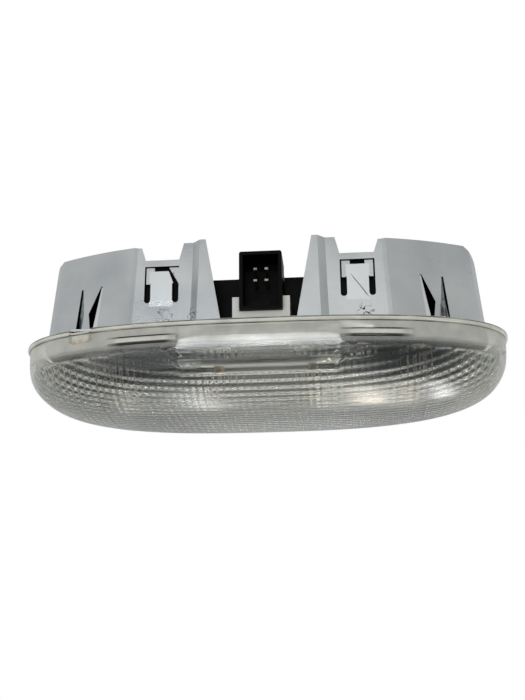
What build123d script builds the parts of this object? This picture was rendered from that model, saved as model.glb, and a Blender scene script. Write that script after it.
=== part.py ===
from build123d import *
import math
import os

os.makedirs("parts", exist_ok=True)

# Car dome light, lens down: X runs along the lamp, -Y is the plug side, +Z points into the roof.
# The origin is the middle of the rim's top face, which lies against the headliner.

# Lens rim and bowl
rim_length = 180.0
rim_width = 76.0
rim_thickness = 1.7
rim_overhang = 0.8
outline_power = 2.7
lens_depth = 28.2
lens_wall = 2.2
end_power = 3.7
side_power = 3.6

# Flutes moulded inside the bowl
plain_band = 10.5
flute_pitch = 2.4
flute_step = 0.2
flute_depth = 0.6
flute_margin = 15.0

# Clear panel set into the plug side of the lens, and the snap ridges beside it
recess_top = 4.0
recess_waist = 9.3
recess_foot = 16.1
recess_top_half = 27.7
recess_waist_half = 31.4
recess_foot_half = 25.4
recess_depth = 1.6
ridge_start = 28.4
ridge_end = 53.0
ridge_drop = 6.3
ridge_height = 2.4
ridge_reach = 1.1

# Lens hooks and the seats that carry the shield
hook_x = 61.5
hook_lean = 1.8
hook_notch_width = 8.4
hook_notch_depth = 1.2
tab_slit = 0.5
tab_slit_depth = 4.6
seat_x = 50.0
seat_y = 9.0
seat_width = 3.0
seat_reach = 5.0
seat_height = 6.0

# Sheet-metal shield
sheet = 0.8
pan_drop = 2.0
shield_gap = 1.8
shield_end_gap = 4.0
shield_top = 32.7
shield_end_top = 31.3
shield_end_drop = 3.5
shield_lean_x = 3.0
shield_lean_y = 1.7
tower_end = 22.0
band_width = 2.8
panel_setback = 2.8
panel_end = 45.7
shoulder_width = 1.4
shoulder_rise = 0.6
corner_back = 5.9
corner_y = 20.2
corner_cut = 2.0
plug_gap_foot = 13.0
plug_gap_top = 19.3
dip_floor = 26.2
dip_inner = 29.0
dip_outer = 41.3
dip_slope = 1.6

# Spring tongues that hold the lamp in the roof
clip_x = 35.2
clip_head_width = 12.4
clip_head_top = 23.7
clip_neck_top = 16.7
clip_slot_foot = 9.4
clip_slot_width = 2.3
clip_slit = 0.6
clip_notch_width = 5.3
clip_notch_height = 2.4
bent_gap = 1.9
pad_width = 8.5
pad_foot = 8.0
pad_head = 21.3
pad_rise = 0.9

# Hook tongues between two tapered openings
hook_top = 17.6
hook_half_top = 3.6
hook_slit_top = 0.7
hook_half_waist = 0.95
hook_waist = 7.5
hook_half_foot = 2.1
hook_half_mouth = 4.3
hook_foot = 0.5
hook_toe = 3.4
hook_toe_gap = 0.3
long_toe_width = 7.4
long_toe_foot = -0.9

# Ivory lamp base
base_plate = 2.4
base_length = 122.0
base_back = 7.5
base_front = 24.0
cradle_front = 31.5
cradle_half = 10.2
cradle_floor = 3.2
cradle_height = 8.6
sleeve_wall = 1.5
sleeve_drop = 4.0
fit = 0.2

# Plug socket, a little off the lamp's middle
socket_x = 0.8
shroud_width = 15.3
shroud_height = 22.2
shroud_wall = 1.3
shroud_depth = 9.5
shroud_back = 4.5
shroud_front = 33.0
shroud_corner = 0.8
key_width = 7.0
key_height = 3.0
key_length = 6.0
pin_pitch_x = 4.0
pin_pitch_z = 4.4
pin_rise = 14.0
pin_width = 1.2
pin_setback = 2.0

# Black cover over the terminals
cover_half = 24.0
cover_front = 22.5
cover_back = 9.0
cover_height = 19.0
cover_wall = 1.6
hump_half = 7.4
hump_height = 23.4
cover_corner = 1.2
wing_start = 27.0
wing_end = 45.0
wing_gap = 2.0
wing_height = 23.8

# Stamped terminals and bulb contacts
bar_thickness = 0.8
bar_width = 3.0
riser_width = 2.2
riser_gap = 1.0
riser_step = 4.6
contact_thickness = 0.6
contact_width = 5.2
contact_x = 16.4
contact_foot = 3.9
contact_hole = 3.2

# Festoon bulbs
bulb_length = 41.0
bulb_radius = 5.2
bulb_glass = 0.7
bulb_drop = 10.5
cap_length = 5.0
cap_plug = 1.5
cone_length = 3.2
cone_tip = 1.0
filament_radius = 0.3

# Rivets
rivet_x = 36.0
rivet_front = 9.5
rivet_radius = 1.5
rivet_head = 2.8
rivet_head_height = 0.9
stud_width = 1.4
stud_head = 2.6
stud_head_height = 0.5
hole_clearance = 0.1

# Heights and half sizes that follow from the values above
wall_x = rim_length / 2 - rim_overhang
wall_y = rim_width / 2 - rim_overhang
inner_x = wall_x - lens_wall
inner_y = wall_y - lens_wall
pan_top = sheet - pan_drop
base_top = pan_top + base_plate
bar_top = base_top + bar_thickness
foot_top = bar_top + contact_thickness
shroud_floor = base_top + cradle_floor
shroud_rear = -shroud_front + shroud_depth + shroud_back
low_pin_z = shroud_floor + pin_rise - pin_pitch_z / 2
high_pin_z = low_pin_z + pin_pitch_z
low_riser_y = shroud_rear + riser_gap + bar_thickness / 2
high_riser_y = low_riser_y + riser_step
bulb_z = -pan_drop - bulb_drop
cap_radius = bulb_radius - bulb_glass - hole_clearance
cone_slope = (cap_radius - cone_tip) / cone_length
tip_entry = (contact_hole / 2 - cone_tip) / cone_slope
inner_face_x = contact_x + contact_thickness / 2
outer_face_x = inner_face_x + bulb_length - 2 * tip_entry
outer_contact_x = outer_face_x + contact_thickness / 2
inner_bar_x = contact_x - contact_foot / 2 - contact_thickness / 2
outer_bar_x = outer_contact_x + contact_foot / 2 + contact_thickness / 2
tower_y = inner_y - shield_gap
panel_y = tower_y - panel_setback
shoulder_y = panel_y + shoulder_rise
wing_y = panel_y - sheet - wing_gap - cover_wall / 2
shield_end = inner_x - shield_end_gap
hook_foot_x = hook_x + hook_lean
stud_hole = stud_width + 2 * hole_clearance
seat_align = {-1: Align.MIN, 1: Align.MAX}


def half_width(x, half_x, half_y):
    """Half width of the rim's oval at the distance x from its middle."""
    share = min(abs(x) / half_x, 1.0)
    return half_y * (1 - share**outline_power) ** (1 / outline_power)


def oval(half_x, half_y, count=48):
    """Points of the oval that the rim and every level of the bowl follow."""
    points = []
    for i in range(count):
        c = math.cos(2 * math.pi * i / count)
        s = math.sin(2 * math.pi * i / count)
        x = math.copysign(abs(c) ** (2 / outline_power), c) * half_x
        y = math.copysign(abs(s) ** (2 / outline_power), s) * half_y
        points.append((x, y))
    return points


def shrink(share, power):
    """How much of its half size the bowl keeps at a share of its depth."""
    return (1 - share**power) ** (1 / power)


def cavity_curve(x, wall, count=5):
    """Crosswise curve of the fluted part at x, from the plug side to the far side."""
    half_x = wall_x - wall
    half_y = wall_y - wall
    depth = lens_depth - wall
    lowest = shrink(abs(x) / half_x, end_power)
    start = (plain_band - flute_step) / depth
    near = []
    for i in range(count):
        share = start + (lowest - start) * math.sin(math.pi / 2 * i / count)
        reach = half_x * shrink(share, end_power)
        y = half_width(x, reach, half_y * shrink(share, side_power))
        near.append((-y, -depth * share))
    far = [(-y, z) for y, z in reversed(near)]
    return near + [(0, -depth * lowest)] + far


hook_wall = half_width(hook_foot_x, inner_x, inner_y)
hook_rim = half_width(hook_foot_x, rim_length / 2, rim_width / 2)
toe_root = hook_wall - hook_toe
short_toe_tip = half_width(hook_foot_x + hook_half_foot, inner_x, inner_y) - hook_toe_gap
long_toe_tip = hook_rim - hook_toe_gap
seat_wall_y = half_width(seat_x, inner_x, inner_y)
seat_wall_x = inner_x * shrink(seat_y / inner_y, outline_power)


def shield_outline(scale_x, scale_y):
    """Quarter outline of the folded wall, from the middle of the plug side to the end."""
    front = -tower_y * scale_y
    panel = -panel_y * scale_y
    shoulder = -shoulder_y * scale_y
    bow_x = (panel_end + shoulder_width) * scale_x
    bend_x = (shield_end - corner_back) * scale_x
    bend_y = -corner_y * scale_y
    tip_x = bend_x + corner_cut * scale_x
    tip_y = bend_y + corner_cut * scale_y
    mid = ((bow_x + bend_x) / 2, 0.6 * shoulder + 0.4 * bend_y)
    Polyline((0, front), (tower_end * scale_x, front), ((tower_end + band_width) * scale_x, panel))
    Line(((tower_end + band_width) * scale_x, panel), (panel_end * scale_x, panel))
    Line((panel_end * scale_x, panel), (bow_x, shoulder))
    ThreePointArc((bow_x, shoulder), mid, (bend_x, bend_y))
    Line((bend_x, bend_y), (tip_x, tip_y))
    TangentArc((shield_end * scale_x, 0), (tip_x, tip_y), tangent=(0, -1))


# Sheet-metal shield: a flat pan whose walls are folded up into tabs and spring tongues
lean_x = 1 - shield_lean_x / shield_end
lean_y = 1 - shield_lean_y / tower_y
wall_run = shield_top + pan_drop
panel_lean = math.atan2(panel_y * (1 - lean_y), wall_run)
panel_normal = (0, -math.cos(panel_lean), math.sin(panel_lean))
near_panel = Plane(
    origin=(0, -panel_y + pan_drop * math.tan(panel_lean), 0),
    x_dir=(1, 0, 0),
    z_dir=panel_normal,
)
far_panel = Plane(
    origin=(0, panel_y - pan_drop * math.tan(panel_lean), 0),
    x_dir=(-1, 0, 0),
    z_dir=(0, -panel_normal[1], panel_normal[2]),
)
near_cut = Plane.XZ.offset(panel_y / 2)
far_cut = Plane(origin=(0, panel_y / 2, 0), x_dir=(-1, 0, 0), z_dir=(0, 1, 0))
contact_slots = []
for side in (-1, 1):
    contact_slots.append((side * contact_x, 0))
    contact_slots.append((side * outer_contact_x, 0))
rivet_spots = []
for side in (-1, 1):
    rivet_spots.append((side * rivet_x, -rivet_front))
stud_spots = []
for side in (-1, 1):
    stud_spots.append((side * inner_bar_x, 0))
    stud_spots.append((side * outer_bar_x, 0))
sleeve_length = contact_thickness + 2 * fit + 2 * sleeve_wall
sleeve_width = contact_width + 2 * fit + 2 * sleeve_wall

with BuildPart() as reflector_shield:
    for z, scale_x, scale_y in ((-pan_drop, 1, 1), (shield_top, lean_x, lean_y)):
        with BuildSketch(Plane.XY.offset(z)):
            with BuildLine():
                shield_outline(scale_x, scale_y)
                mirror(about=Plane.XZ)
                mirror(about=Plane.YZ)
            make_face()
    loft(ruled=True)
    for z in (pan_top, shield_top + 1):
        rise = (z + pan_drop) / (shield_top + pan_drop)
        with BuildSketch(Plane.XY.offset(z)):
            with BuildLine():
                shield_outline(1 - rise * (1 - lean_x), 1 - rise * (1 - lean_y))
                mirror(about=Plane.XZ)
                mirror(about=Plane.YZ)
            make_face()
            offset(amount=-sheet, kind=Kind.INTERSECTION)
    loft(ruled=True, mode=Mode.SUBTRACT)
    # Upper edge of both long walls: dips over the spring tongues, lower tabs towards the ends
    for plane in (near_cut, far_cut):
        with BuildSketch(plane):
            with BuildLine():
                Polyline(
                    (dip_inner - dip_slope, shield_top + 1),
                    (dip_inner - dip_slope, shield_top),
                    (dip_inner, dip_floor),
                    (dip_outer, dip_floor),
                    (dip_outer + dip_slope, shield_end_top),
                    (rim_length, shield_end_top),
                    (rim_length, shield_top + 1),
                    close=True,
                )
            make_face()
            mirror(about=Plane.YZ)
        extrude(amount=rim_width, mode=Mode.SUBTRACT)
    # Top of both ends, sloping down from the corner folds
    with BuildSketch(Plane.XZ.offset(-rim_width)):
        with BuildLine():
            Polyline(
                ((shield_end - corner_back) * lean_x, shield_end_top),
                (shield_end * lean_x, shield_end_top - shield_end_drop),
                (rim_length, shield_end_top - shield_end_drop),
                (rim_length, shield_top + 1),
                ((shield_end - corner_back) * lean_x, shield_top + 1),
                close=True,
            )
        make_face()
        mirror(about=Plane.YZ)
    extrude(amount=2 * rim_width, mode=Mode.SUBTRACT)
    # Way in for the plug between the two tall tabs
    with BuildSketch(near_cut):
        with BuildLine():
            Polyline(
                (-plug_gap_foot, pan_top),
                (plug_gap_foot, pan_top),
                (plug_gap_top, shield_top + 1),
                (-plug_gap_top, shield_top + 1),
                close=True,
            )
        make_face()
    extrude(amount=rim_width, mode=Mode.SUBTRACT)
    # Spring tongues: each is bent out towards its head and cut free by a slit, two slots and a notch
    clip_spots = [(-clip_x, 0), (clip_x, 0)]
    for plane in (near_panel, far_panel):
        side_plane = Plane(origin=plane.origin, x_dir=plane.y_dir, z_dir=plane.x_dir)
        for side in (-1, 1):
            with BuildSketch(side_plane.offset(side * clip_x - pad_width / 2)):
                with BuildLine():
                    Polyline((pad_foot, 0), (pad_head, 0), (pad_head, pad_rise), close=True)
                make_face()
            extrude(amount=pad_width)
            with BuildSketch(side_plane.offset(side * clip_x - pad_width / 2 + sheet)):
                with BuildLine():
                    Polyline(
                        (pad_foot, -sheet),
                        (pad_head - sheet, -sheet),
                        (pad_head - sheet, pad_rise - sheet),
                        close=True,
                    )
                make_face()
            extrude(amount=pad_width - 2 * sheet, mode=Mode.SUBTRACT)
        with BuildSketch(plane.offset(-3 * sheet)):
            with Locations(*clip_spots):
                with Locations((0, clip_head_top)):
                    Rectangle(clip_head_width, clip_head_top - clip_neck_top, align=(Align.CENTER, Align.MAX))
                with Locations((0, clip_head_top - clip_slit)):
                    Rectangle(
                        clip_head_width - 2 * clip_slit,
                        clip_head_top - clip_neck_top,
                        align=(Align.CENTER, Align.MAX),
                        mode=Mode.SUBTRACT,
                    )
                with Locations((0, clip_head_top)):
                    Rectangle(clip_notch_width, clip_notch_height, align=(Align.CENTER, Align.MAX))
                for side in (-1, 1):
                    slot_x = side * (clip_head_width - clip_slot_width) / 2
                    round_z = clip_slot_foot + clip_slot_width / 2
                    with Locations((slot_x, round_z)):
                        Rectangle(clip_slot_width, clip_neck_top - round_z, align=(Align.CENTER, Align.MIN))
                        Circle(clip_slot_width / 2)
            if plane is near_panel:
                # The tongue on the left of the plug is bent, so its right slit is a wedge-shaped gap
                with Locations((-clip_x + clip_head_width / 2, clip_head_top - clip_slit)):
                    Rectangle(
                        clip_slit,
                        clip_head_top - clip_slit - clip_neck_top,
                        align=(Align.MAX, Align.MAX),
                        mode=Mode.SUBTRACT,
                    )
                with BuildLine():
                    Polyline(
                        (-clip_x + clip_notch_width / 2, clip_head_top - clip_slit),
                        (-clip_x + clip_head_width / 2, clip_neck_top),
                        (-clip_x + clip_head_width / 2 - bent_gap, clip_neck_top),
                        (-clip_x + clip_notch_width / 2, clip_head_top - clip_notch_height),
                        close=True,
                    )
                make_face()
        extrude(amount=6 * sheet, mode=Mode.SUBTRACT)
    # Hook tongues: two tapered openings leave a waisted tongue that ends in a bent toe
    for plane in (near_cut, far_cut):
        with BuildSketch(plane):
            for side in (-1, 1):
                with BuildLine():
                    Polyline(
                        (hook_x + side * hook_half_top, hook_top),
                        (hook_x + side * (hook_half_top + hook_slit_top), hook_top),
                        (hook_foot_x + side * hook_half_mouth, pan_top),
                        (hook_foot_x + side * hook_half_foot, pan_top),
                        (hook_foot_x + side * hook_half_waist, hook_waist),
                        close=True,
                    )
                make_face()
            mirror(about=Plane.YZ)
        extrude(amount=rim_width, mode=Mode.SUBTRACT)
        with BuildSketch(plane):
            with Locations((-hook_foot_x, pan_top)):
                Rectangle(2 * hook_half_foot, long_toe_foot - pan_top, align=(Align.CENTER, Align.MIN))
            with Locations((hook_foot_x, pan_top)):
                Rectangle(2 * hook_half_foot, hook_foot - pan_top, align=(Align.CENTER, Align.MIN))
        extrude(amount=rim_width, mode=Mode.SUBTRACT)
    # Toes: short ones inside the rim, long wide ones out over the rim
    with BuildSketch(Plane.XY.offset(hook_foot)):
        for side in (-1, 1):
            with Locations((side * hook_foot_x, -side * (toe_root + short_toe_tip) / 2)):
                Rectangle(2 * hook_half_foot, short_toe_tip - toe_root)
    extrude(amount=sheet)
    with BuildSketch(Plane.XY.offset(long_toe_foot)):
        for side in (-1, 1):
            with Locations((side * hook_foot_x, side * (toe_root + long_toe_tip) / 2)):
                Rectangle(long_toe_width, long_toe_tip - toe_root)
    extrude(amount=sheet)
    # Openings in the pan for the contact sleeves and the rivets
    with BuildSketch(Plane.XY.offset(-pan_drop)):
        with Locations(*contact_slots):
            Rectangle(sleeve_length + 2 * fit, sleeve_width + 2 * fit)
        with Locations(*rivet_spots):
            Circle(rivet_radius + hole_clearance)
    extrude(amount=sheet, mode=Mode.SUBTRACT)
reflector_shield.part.label = "reflector_shield"
export_step(reflector_shield.part, "parts/reflector_shield.step")

# Ivory lamp base: a plate on the pan with a cradle for the socket and sleeves round the contacts
with BuildPart() as lamp_base:
    with BuildSketch(Plane.XY.offset(pan_top)):
        with BuildLine():
            Polyline(
                (-base_length / 2, base_back),
                (base_length / 2, base_back),
                (base_length / 2, low_riser_y - bar_width),
                (cover_half + cover_wall, -base_front),
                (-cover_half - cover_wall, -base_front),
                (-base_length / 2, low_riser_y - bar_width),
                close=True,
            )
        make_face()
    extrude(amount=base_plate)
    with BuildSketch(Plane.XY.offset(pan_top)):
        with Locations((socket_x, -cradle_front)):
            Rectangle(2 * cradle_half, cradle_front - cover_front - fit, align=(Align.CENTER, Align.MIN))
    extrude(amount=base_plate + cradle_height)
    with BuildSketch(Plane.XY.offset(shroud_floor)):
        with Locations((socket_x, -cradle_front)):
            Rectangle(shroud_width + fit, cradle_front, align=(Align.CENTER, Align.MIN))
    extrude(amount=cradle_height, mode=Mode.SUBTRACT)
    with BuildSketch(Plane.XY.offset(pan_top)):
        with Locations(*contact_slots):
            Rectangle(sleeve_length, sleeve_width)
    extrude(amount=-sheet - sleeve_drop)
    with BuildSketch(Plane.XY.offset(base_top)):
        with Locations(*contact_slots):
            Rectangle(contact_thickness + 2 * fit, contact_width + 2 * fit)
        with Locations(*rivet_spots):
            Circle(rivet_radius + hole_clearance)
        with Locations(*stud_spots):
            Rectangle(stud_hole, stud_hole)
    extrude(amount=-base_plate - sheet - sleeve_drop, mode=Mode.SUBTRACT)
lamp_base.part.label = "lamp_base"
export_step(lamp_base.part, "parts/lamp_base.step")

# Plug socket: a shroud open towards the plug, with a key rib below the four pins
pin_spots = []
for side in (-1, 1):
    for z in (low_pin_z, high_pin_z):
        pin_spots.append((socket_x + side * pin_pitch_x / 2, z))
with BuildPart() as connector_housing:
    with BuildSketch(Plane.XZ.offset(shroud_front)):
        with Locations((socket_x, shroud_floor + shroud_height / 2)):
            RectangleRounded(shroud_width, shroud_height, shroud_corner)
    extrude(amount=-shroud_depth - shroud_back)
    with BuildSketch(Plane.XZ.offset(shroud_front)):
        with Locations((socket_x, shroud_floor + shroud_height / 2)):
            Rectangle(shroud_width - 2 * shroud_wall, shroud_height - 2 * shroud_wall)
    extrude(amount=-shroud_depth, mode=Mode.SUBTRACT)
    with BuildSketch(Plane.XZ.offset(shroud_front - shroud_depth)):
        with Locations((socket_x, shroud_floor + shroud_wall)):
            Rectangle(key_width, key_height, align=(Align.CENTER, Align.MIN))
    extrude(amount=key_length)
    with BuildSketch(Plane.XZ.offset(-shroud_rear)):
        with Locations(*pin_spots):
            Rectangle(pin_width + fit, bar_thickness + fit)
    extrude(amount=shroud_back, mode=Mode.SUBTRACT)
connector_housing.part.label = "connector_housing"
export_step(connector_housing.part, "parts/connector_housing.step")

# Black cover over the terminals, notched for the socket and the bars, with a wing at each side
with BuildPart() as terminal_cover:
    with BuildSketch(Plane.XY.offset(base_top)):
        with Locations((0, -(cover_front + cover_back) / 2)):
            RectangleRounded(2 * cover_half, cover_front - cover_back, cover_corner)
    extrude(amount=cover_height)
    with BuildSketch(Plane.XY.offset(base_top)):
        with Locations((socket_x, -(cover_front + cover_back) / 2)):
            Rectangle(2 * hump_half, cover_front - cover_back)
    extrude(amount=hump_height)
    with BuildSketch(Plane.XY.offset(base_top)):
        with Locations((0, -(cover_front + cover_back) / 2)):
            Rectangle(2 * (cover_half - cover_wall), cover_front - cover_back - 2 * cover_wall)
    extrude(amount=cover_height - cover_wall, mode=Mode.SUBTRACT)
    with BuildSketch(Plane.XY.offset(base_top)):
        with Locations((socket_x, -(cover_front + cover_back) / 2)):
            Rectangle(2 * (hump_half - cover_wall), cover_front - cover_back - 2 * cover_wall)
    extrude(amount=hump_height - cover_wall, mode=Mode.SUBTRACT)
    with BuildSketch(Plane.XY.offset(base_top)):
        with Locations((socket_x, shroud_rear + fit)):
            Rectangle(
                shroud_width + 2 * fit,
                cover_front + shroud_rear + 2 * fit,
                align=(Align.CENTER, Align.MAX),
            )
    extrude(amount=hump_height + cover_height, mode=Mode.SUBTRACT)
    with BuildSketch(Plane.XY.offset(base_top)):
        with Locations((0, low_riser_y)):
            Rectangle(4 * cover_half, bar_width + 2 * fit)
        for side in (-1, 1):
            with Locations((side * inner_bar_x, high_riser_y)):
                Rectangle(bar_width + 2 * fit, cover_front, align=(Align.CENTER, Align.MIN))
    extrude(amount=bar_thickness + fit, mode=Mode.SUBTRACT)
    # Wings that stand behind the two spring tongues
    with BuildSketch(Plane.XY.offset(base_top)):
        for side in (-1, 1):
            with BuildLine():
                Polyline(
                    (side * (cover_half - cover_wall / 2), -cover_front + cover_wall / 2),
                    (side * wing_start, -wing_y),
                    (side * wing_end, -wing_y),
                )
            trace(line_width=cover_wall)
    extrude(amount=wing_height)
terminal_cover.part.label = "terminal_cover"
export_step(terminal_cover.part, "parts/terminal_cover.step")


def terminal(side, pin_z, riser_y, bar_x):
    """Pin, riser and flat bar of one terminal on the given side of the socket."""
    pin_x = socket_x + side * pin_pitch_x / 2
    with BuildPart() as piece:
        with BuildSketch(Plane.XZ.offset(shroud_front - pin_setback)):
            with Locations((pin_x, pin_z)):
                Rectangle(pin_width, bar_thickness)
        extrude(amount=-(shroud_front - pin_setback + riser_y))
        with BuildSketch(Plane.XY.offset(base_top)):
            with Locations((pin_x, riser_y)):
                Rectangle(riser_width, bar_thickness)
        extrude(amount=pin_z + bar_thickness / 2 - base_top)
        with BuildSketch(Plane.XY.offset(base_top)):
            with BuildLine():
                Polyline(
                    (pin_x - side * riser_width / 2, riser_y),
                    (side * bar_x, riser_y),
                    (side * bar_x, contact_width / 2),
                )
            trace(line_width=bar_width)
            with Locations((side * bar_x, 0)):
                Rectangle(stud_hole, stud_hole, mode=Mode.SUBTRACT)
        extrude(amount=bar_thickness)
    return piece


terminal_left_outer = terminal(-1, low_pin_z, low_riser_y, outer_bar_x)
terminal_left_outer.part.label = "terminal_left_outer"
export_step(terminal_left_outer.part, "parts/terminal_left_outer.step")

terminal_right_outer = terminal(1, low_pin_z, low_riser_y, outer_bar_x)
terminal_right_outer.part.label = "terminal_right_outer"
export_step(terminal_right_outer.part, "parts/terminal_right_outer.step")

terminal_left_inner = terminal(-1, high_pin_z, high_riser_y, inner_bar_x)
terminal_left_inner.part.label = "terminal_left_inner"
export_step(terminal_left_inner.part, "parts/terminal_left_inner.step")

terminal_right_inner = terminal(1, high_pin_z, high_riser_y, inner_bar_x)
terminal_right_inner.part.label = "terminal_right_inner"
export_step(terminal_right_inner.part, "parts/terminal_right_inner.step")


def contact(blade_x, bar_x):
    """Spring contact: a foot on its bar and a blade through the pan, pierced for the bulb's tip."""
    foot_x = (blade_x + bar_x) / 2
    with BuildPart() as piece:
        with BuildSketch(Plane.XY.offset(bar_top)):
            with Locations((foot_x, 0)):
                Rectangle(contact_foot + contact_thickness, contact_width)
            with Locations((bar_x, 0)):
                Rectangle(stud_hole, stud_hole, mode=Mode.SUBTRACT)
        extrude(amount=contact_thickness)
        with BuildSketch(Plane.XY.offset(foot_top)):
            with Locations((blade_x, 0)):
                Rectangle(contact_thickness, contact_width)
        extrude(amount=bulb_z - contact_hole - foot_top)
        with BuildSketch(Plane.YZ.offset(blade_x - contact_thickness)):
            with Locations((0, bulb_z)):
                Circle(contact_hole / 2)
        extrude(amount=2 * contact_thickness, mode=Mode.SUBTRACT)
    return piece


contact_left_inner = contact(-contact_x, -inner_bar_x)
contact_left_inner.part.label = "contact_left_inner"
export_step(contact_left_inner.part, "parts/contact_left_inner.step")

with BuildPart() as contact_right_inner:
    mirror(contact_left_inner.part, about=Plane.YZ)
contact_right_inner.part.label = "contact_right_inner"
export_step(contact_right_inner.part, "parts/contact_right_inner.step")

contact_left_outer = contact(-outer_contact_x, -outer_bar_x)
contact_left_outer.part.label = "contact_left_outer"
export_step(contact_left_outer.part, "parts/contact_left_outer.step")

with BuildPart() as contact_right_outer:
    mirror(contact_left_outer.part, about=Plane.YZ)
contact_right_outer.part.label = "contact_right_outer"
export_step(contact_right_outer.part, "parts/contact_right_outer.step")

# Festoon bulbs: a glass tube plugged by two pointed caps, with a straight filament between them
bulb_left = -(inner_face_x + outer_face_x) / 2
glass_half = bulb_length / 2 - cone_length - cap_length
bulb_axis = Axis((0, 0, bulb_z), (1, 0, 0))
bulb_plane = Plane(origin=(bulb_left, 0, bulb_z), x_dir=(1, 0, 0), z_dir=(0, -1, 0))
with BuildPart() as bulb_glass_left:
    with BuildSketch(bulb_plane):
        with Locations((0, bulb_radius)):
            Rectangle(2 * glass_half, bulb_glass, align=(Align.CENTER, Align.MAX))
    revolve(axis=bulb_axis)
bulb_glass_left.part.label = "bulb_glass_left"
export_step(bulb_glass_left.part, "parts/bulb_glass_left.step")

with BuildPart() as bulb_caps_left:
    with BuildSketch(bulb_plane):
        for side in (-1, 1):
            with BuildLine():
                Polyline(
                    (side * (glass_half - cap_plug), 0),
                    (side * (glass_half - cap_plug), cap_radius),
                    (side * (glass_half + cap_length), cap_radius),
                    (side * bulb_length / 2, cone_tip),
                    (side * bulb_length / 2, 0),
                    close=True,
                )
            make_face()
    revolve(axis=bulb_axis)
bulb_caps_left.part.label = "bulb_caps_left"
export_step(bulb_caps_left.part, "parts/bulb_caps_left.step")

with BuildPart() as filament_left:
    with BuildSketch(Plane.YZ.offset(bulb_left - glass_half + cap_plug)):
        with Locations((0, bulb_z)):
            Circle(filament_radius)
    extrude(amount=2 * (glass_half - cap_plug))
filament_left.part.label = "filament_left"
export_step(filament_left.part, "parts/filament_left.step")

with BuildPart() as bulb_glass_right:
    mirror(bulb_glass_left.part, about=Plane.YZ)
bulb_glass_right.part.label = "bulb_glass_right"
export_step(bulb_glass_right.part, "parts/bulb_glass_right.step")

with BuildPart() as bulb_caps_right:
    mirror(bulb_caps_left.part, about=Plane.YZ)
bulb_caps_right.part.label = "bulb_caps_right"
export_step(bulb_caps_right.part, "parts/bulb_caps_right.step")

with BuildPart() as filament_right:
    mirror(filament_left.part, about=Plane.YZ)
filament_right.part.label = "filament_right"
export_step(filament_right.part, "parts/filament_right.step")

# Rivets that hold the base on the pan, and square studs that hold the contacts on their bars
with BuildPart() as base_rivets:
    with BuildSketch(Plane.XY.offset(-pan_drop)):
        with Locations(*rivet_spots):
            Circle(rivet_radius)
    extrude(amount=base_top + pan_drop)
    with BuildSketch(Plane.XY.offset(base_top)):
        with Locations(*rivet_spots):
            Circle(rivet_head)
    extrude(amount=rivet_head_height)
    with BuildSketch(Plane.XY.offset(-pan_drop)):
        with Locations(*rivet_spots):
            Circle(rivet_head)
    extrude(amount=-rivet_head_height)
base_rivets.part.label = "base_rivets"
export_step(base_rivets.part, "parts/base_rivets.step")

with BuildPart() as contact_studs:
    with BuildSketch(Plane.XY.offset(pan_top)):
        with Locations(*stud_spots):
            Rectangle(stud_width, stud_width)
    extrude(amount=foot_top - pan_top)
    with BuildSketch(Plane.XY.offset(foot_top)):
        with Locations(*stud_spots):
            Rectangle(stud_head, stud_head)
    extrude(amount=stud_head_height)
contact_studs.part.label = "contact_studs"
export_step(contact_studs.part, "parts/contact_studs.step")

# Lens: a deep oval bowl with a rim, fluted inside below a plain band
flute_half = inner_x - flute_margin
flute_count = int(flute_half / flute_pitch)
flute_roof = lens_wall - plain_band
valley_wall = lens_wall + flute_step
stations = []
for i in range(-2 * flute_count, 2 * flute_count + 1):
    stations.append((i * flute_pitch / 2, valley_wall + flute_depth * (i % 2)))
last_flute = flute_count * flute_pitch
end_share = (plain_band + flute_depth) / (lens_depth - valley_wall)
end_face = (wall_x - valley_wall) * shrink(end_share, end_power)
for i in range(1, 7):
    x = last_flute + (end_face - last_flute) * math.sin(math.pi / 12 * i)
    stations.append((x, valley_wall))
    stations.append((-x, valley_wall))
stations.sort()
levels = (0.0, 0.2, 0.375, 0.52, 0.65, 0.76, 0.85, 0.915, 0.96, 0.985, 0.997)
recess_face = wall_y - recess_depth
ridge_share = ridge_drop / lens_depth
ridge_half_x = wall_x * shrink(ridge_share, end_power) + ridge_reach
ridge_half_y = wall_y * shrink(ridge_share, side_power) + ridge_reach

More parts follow.
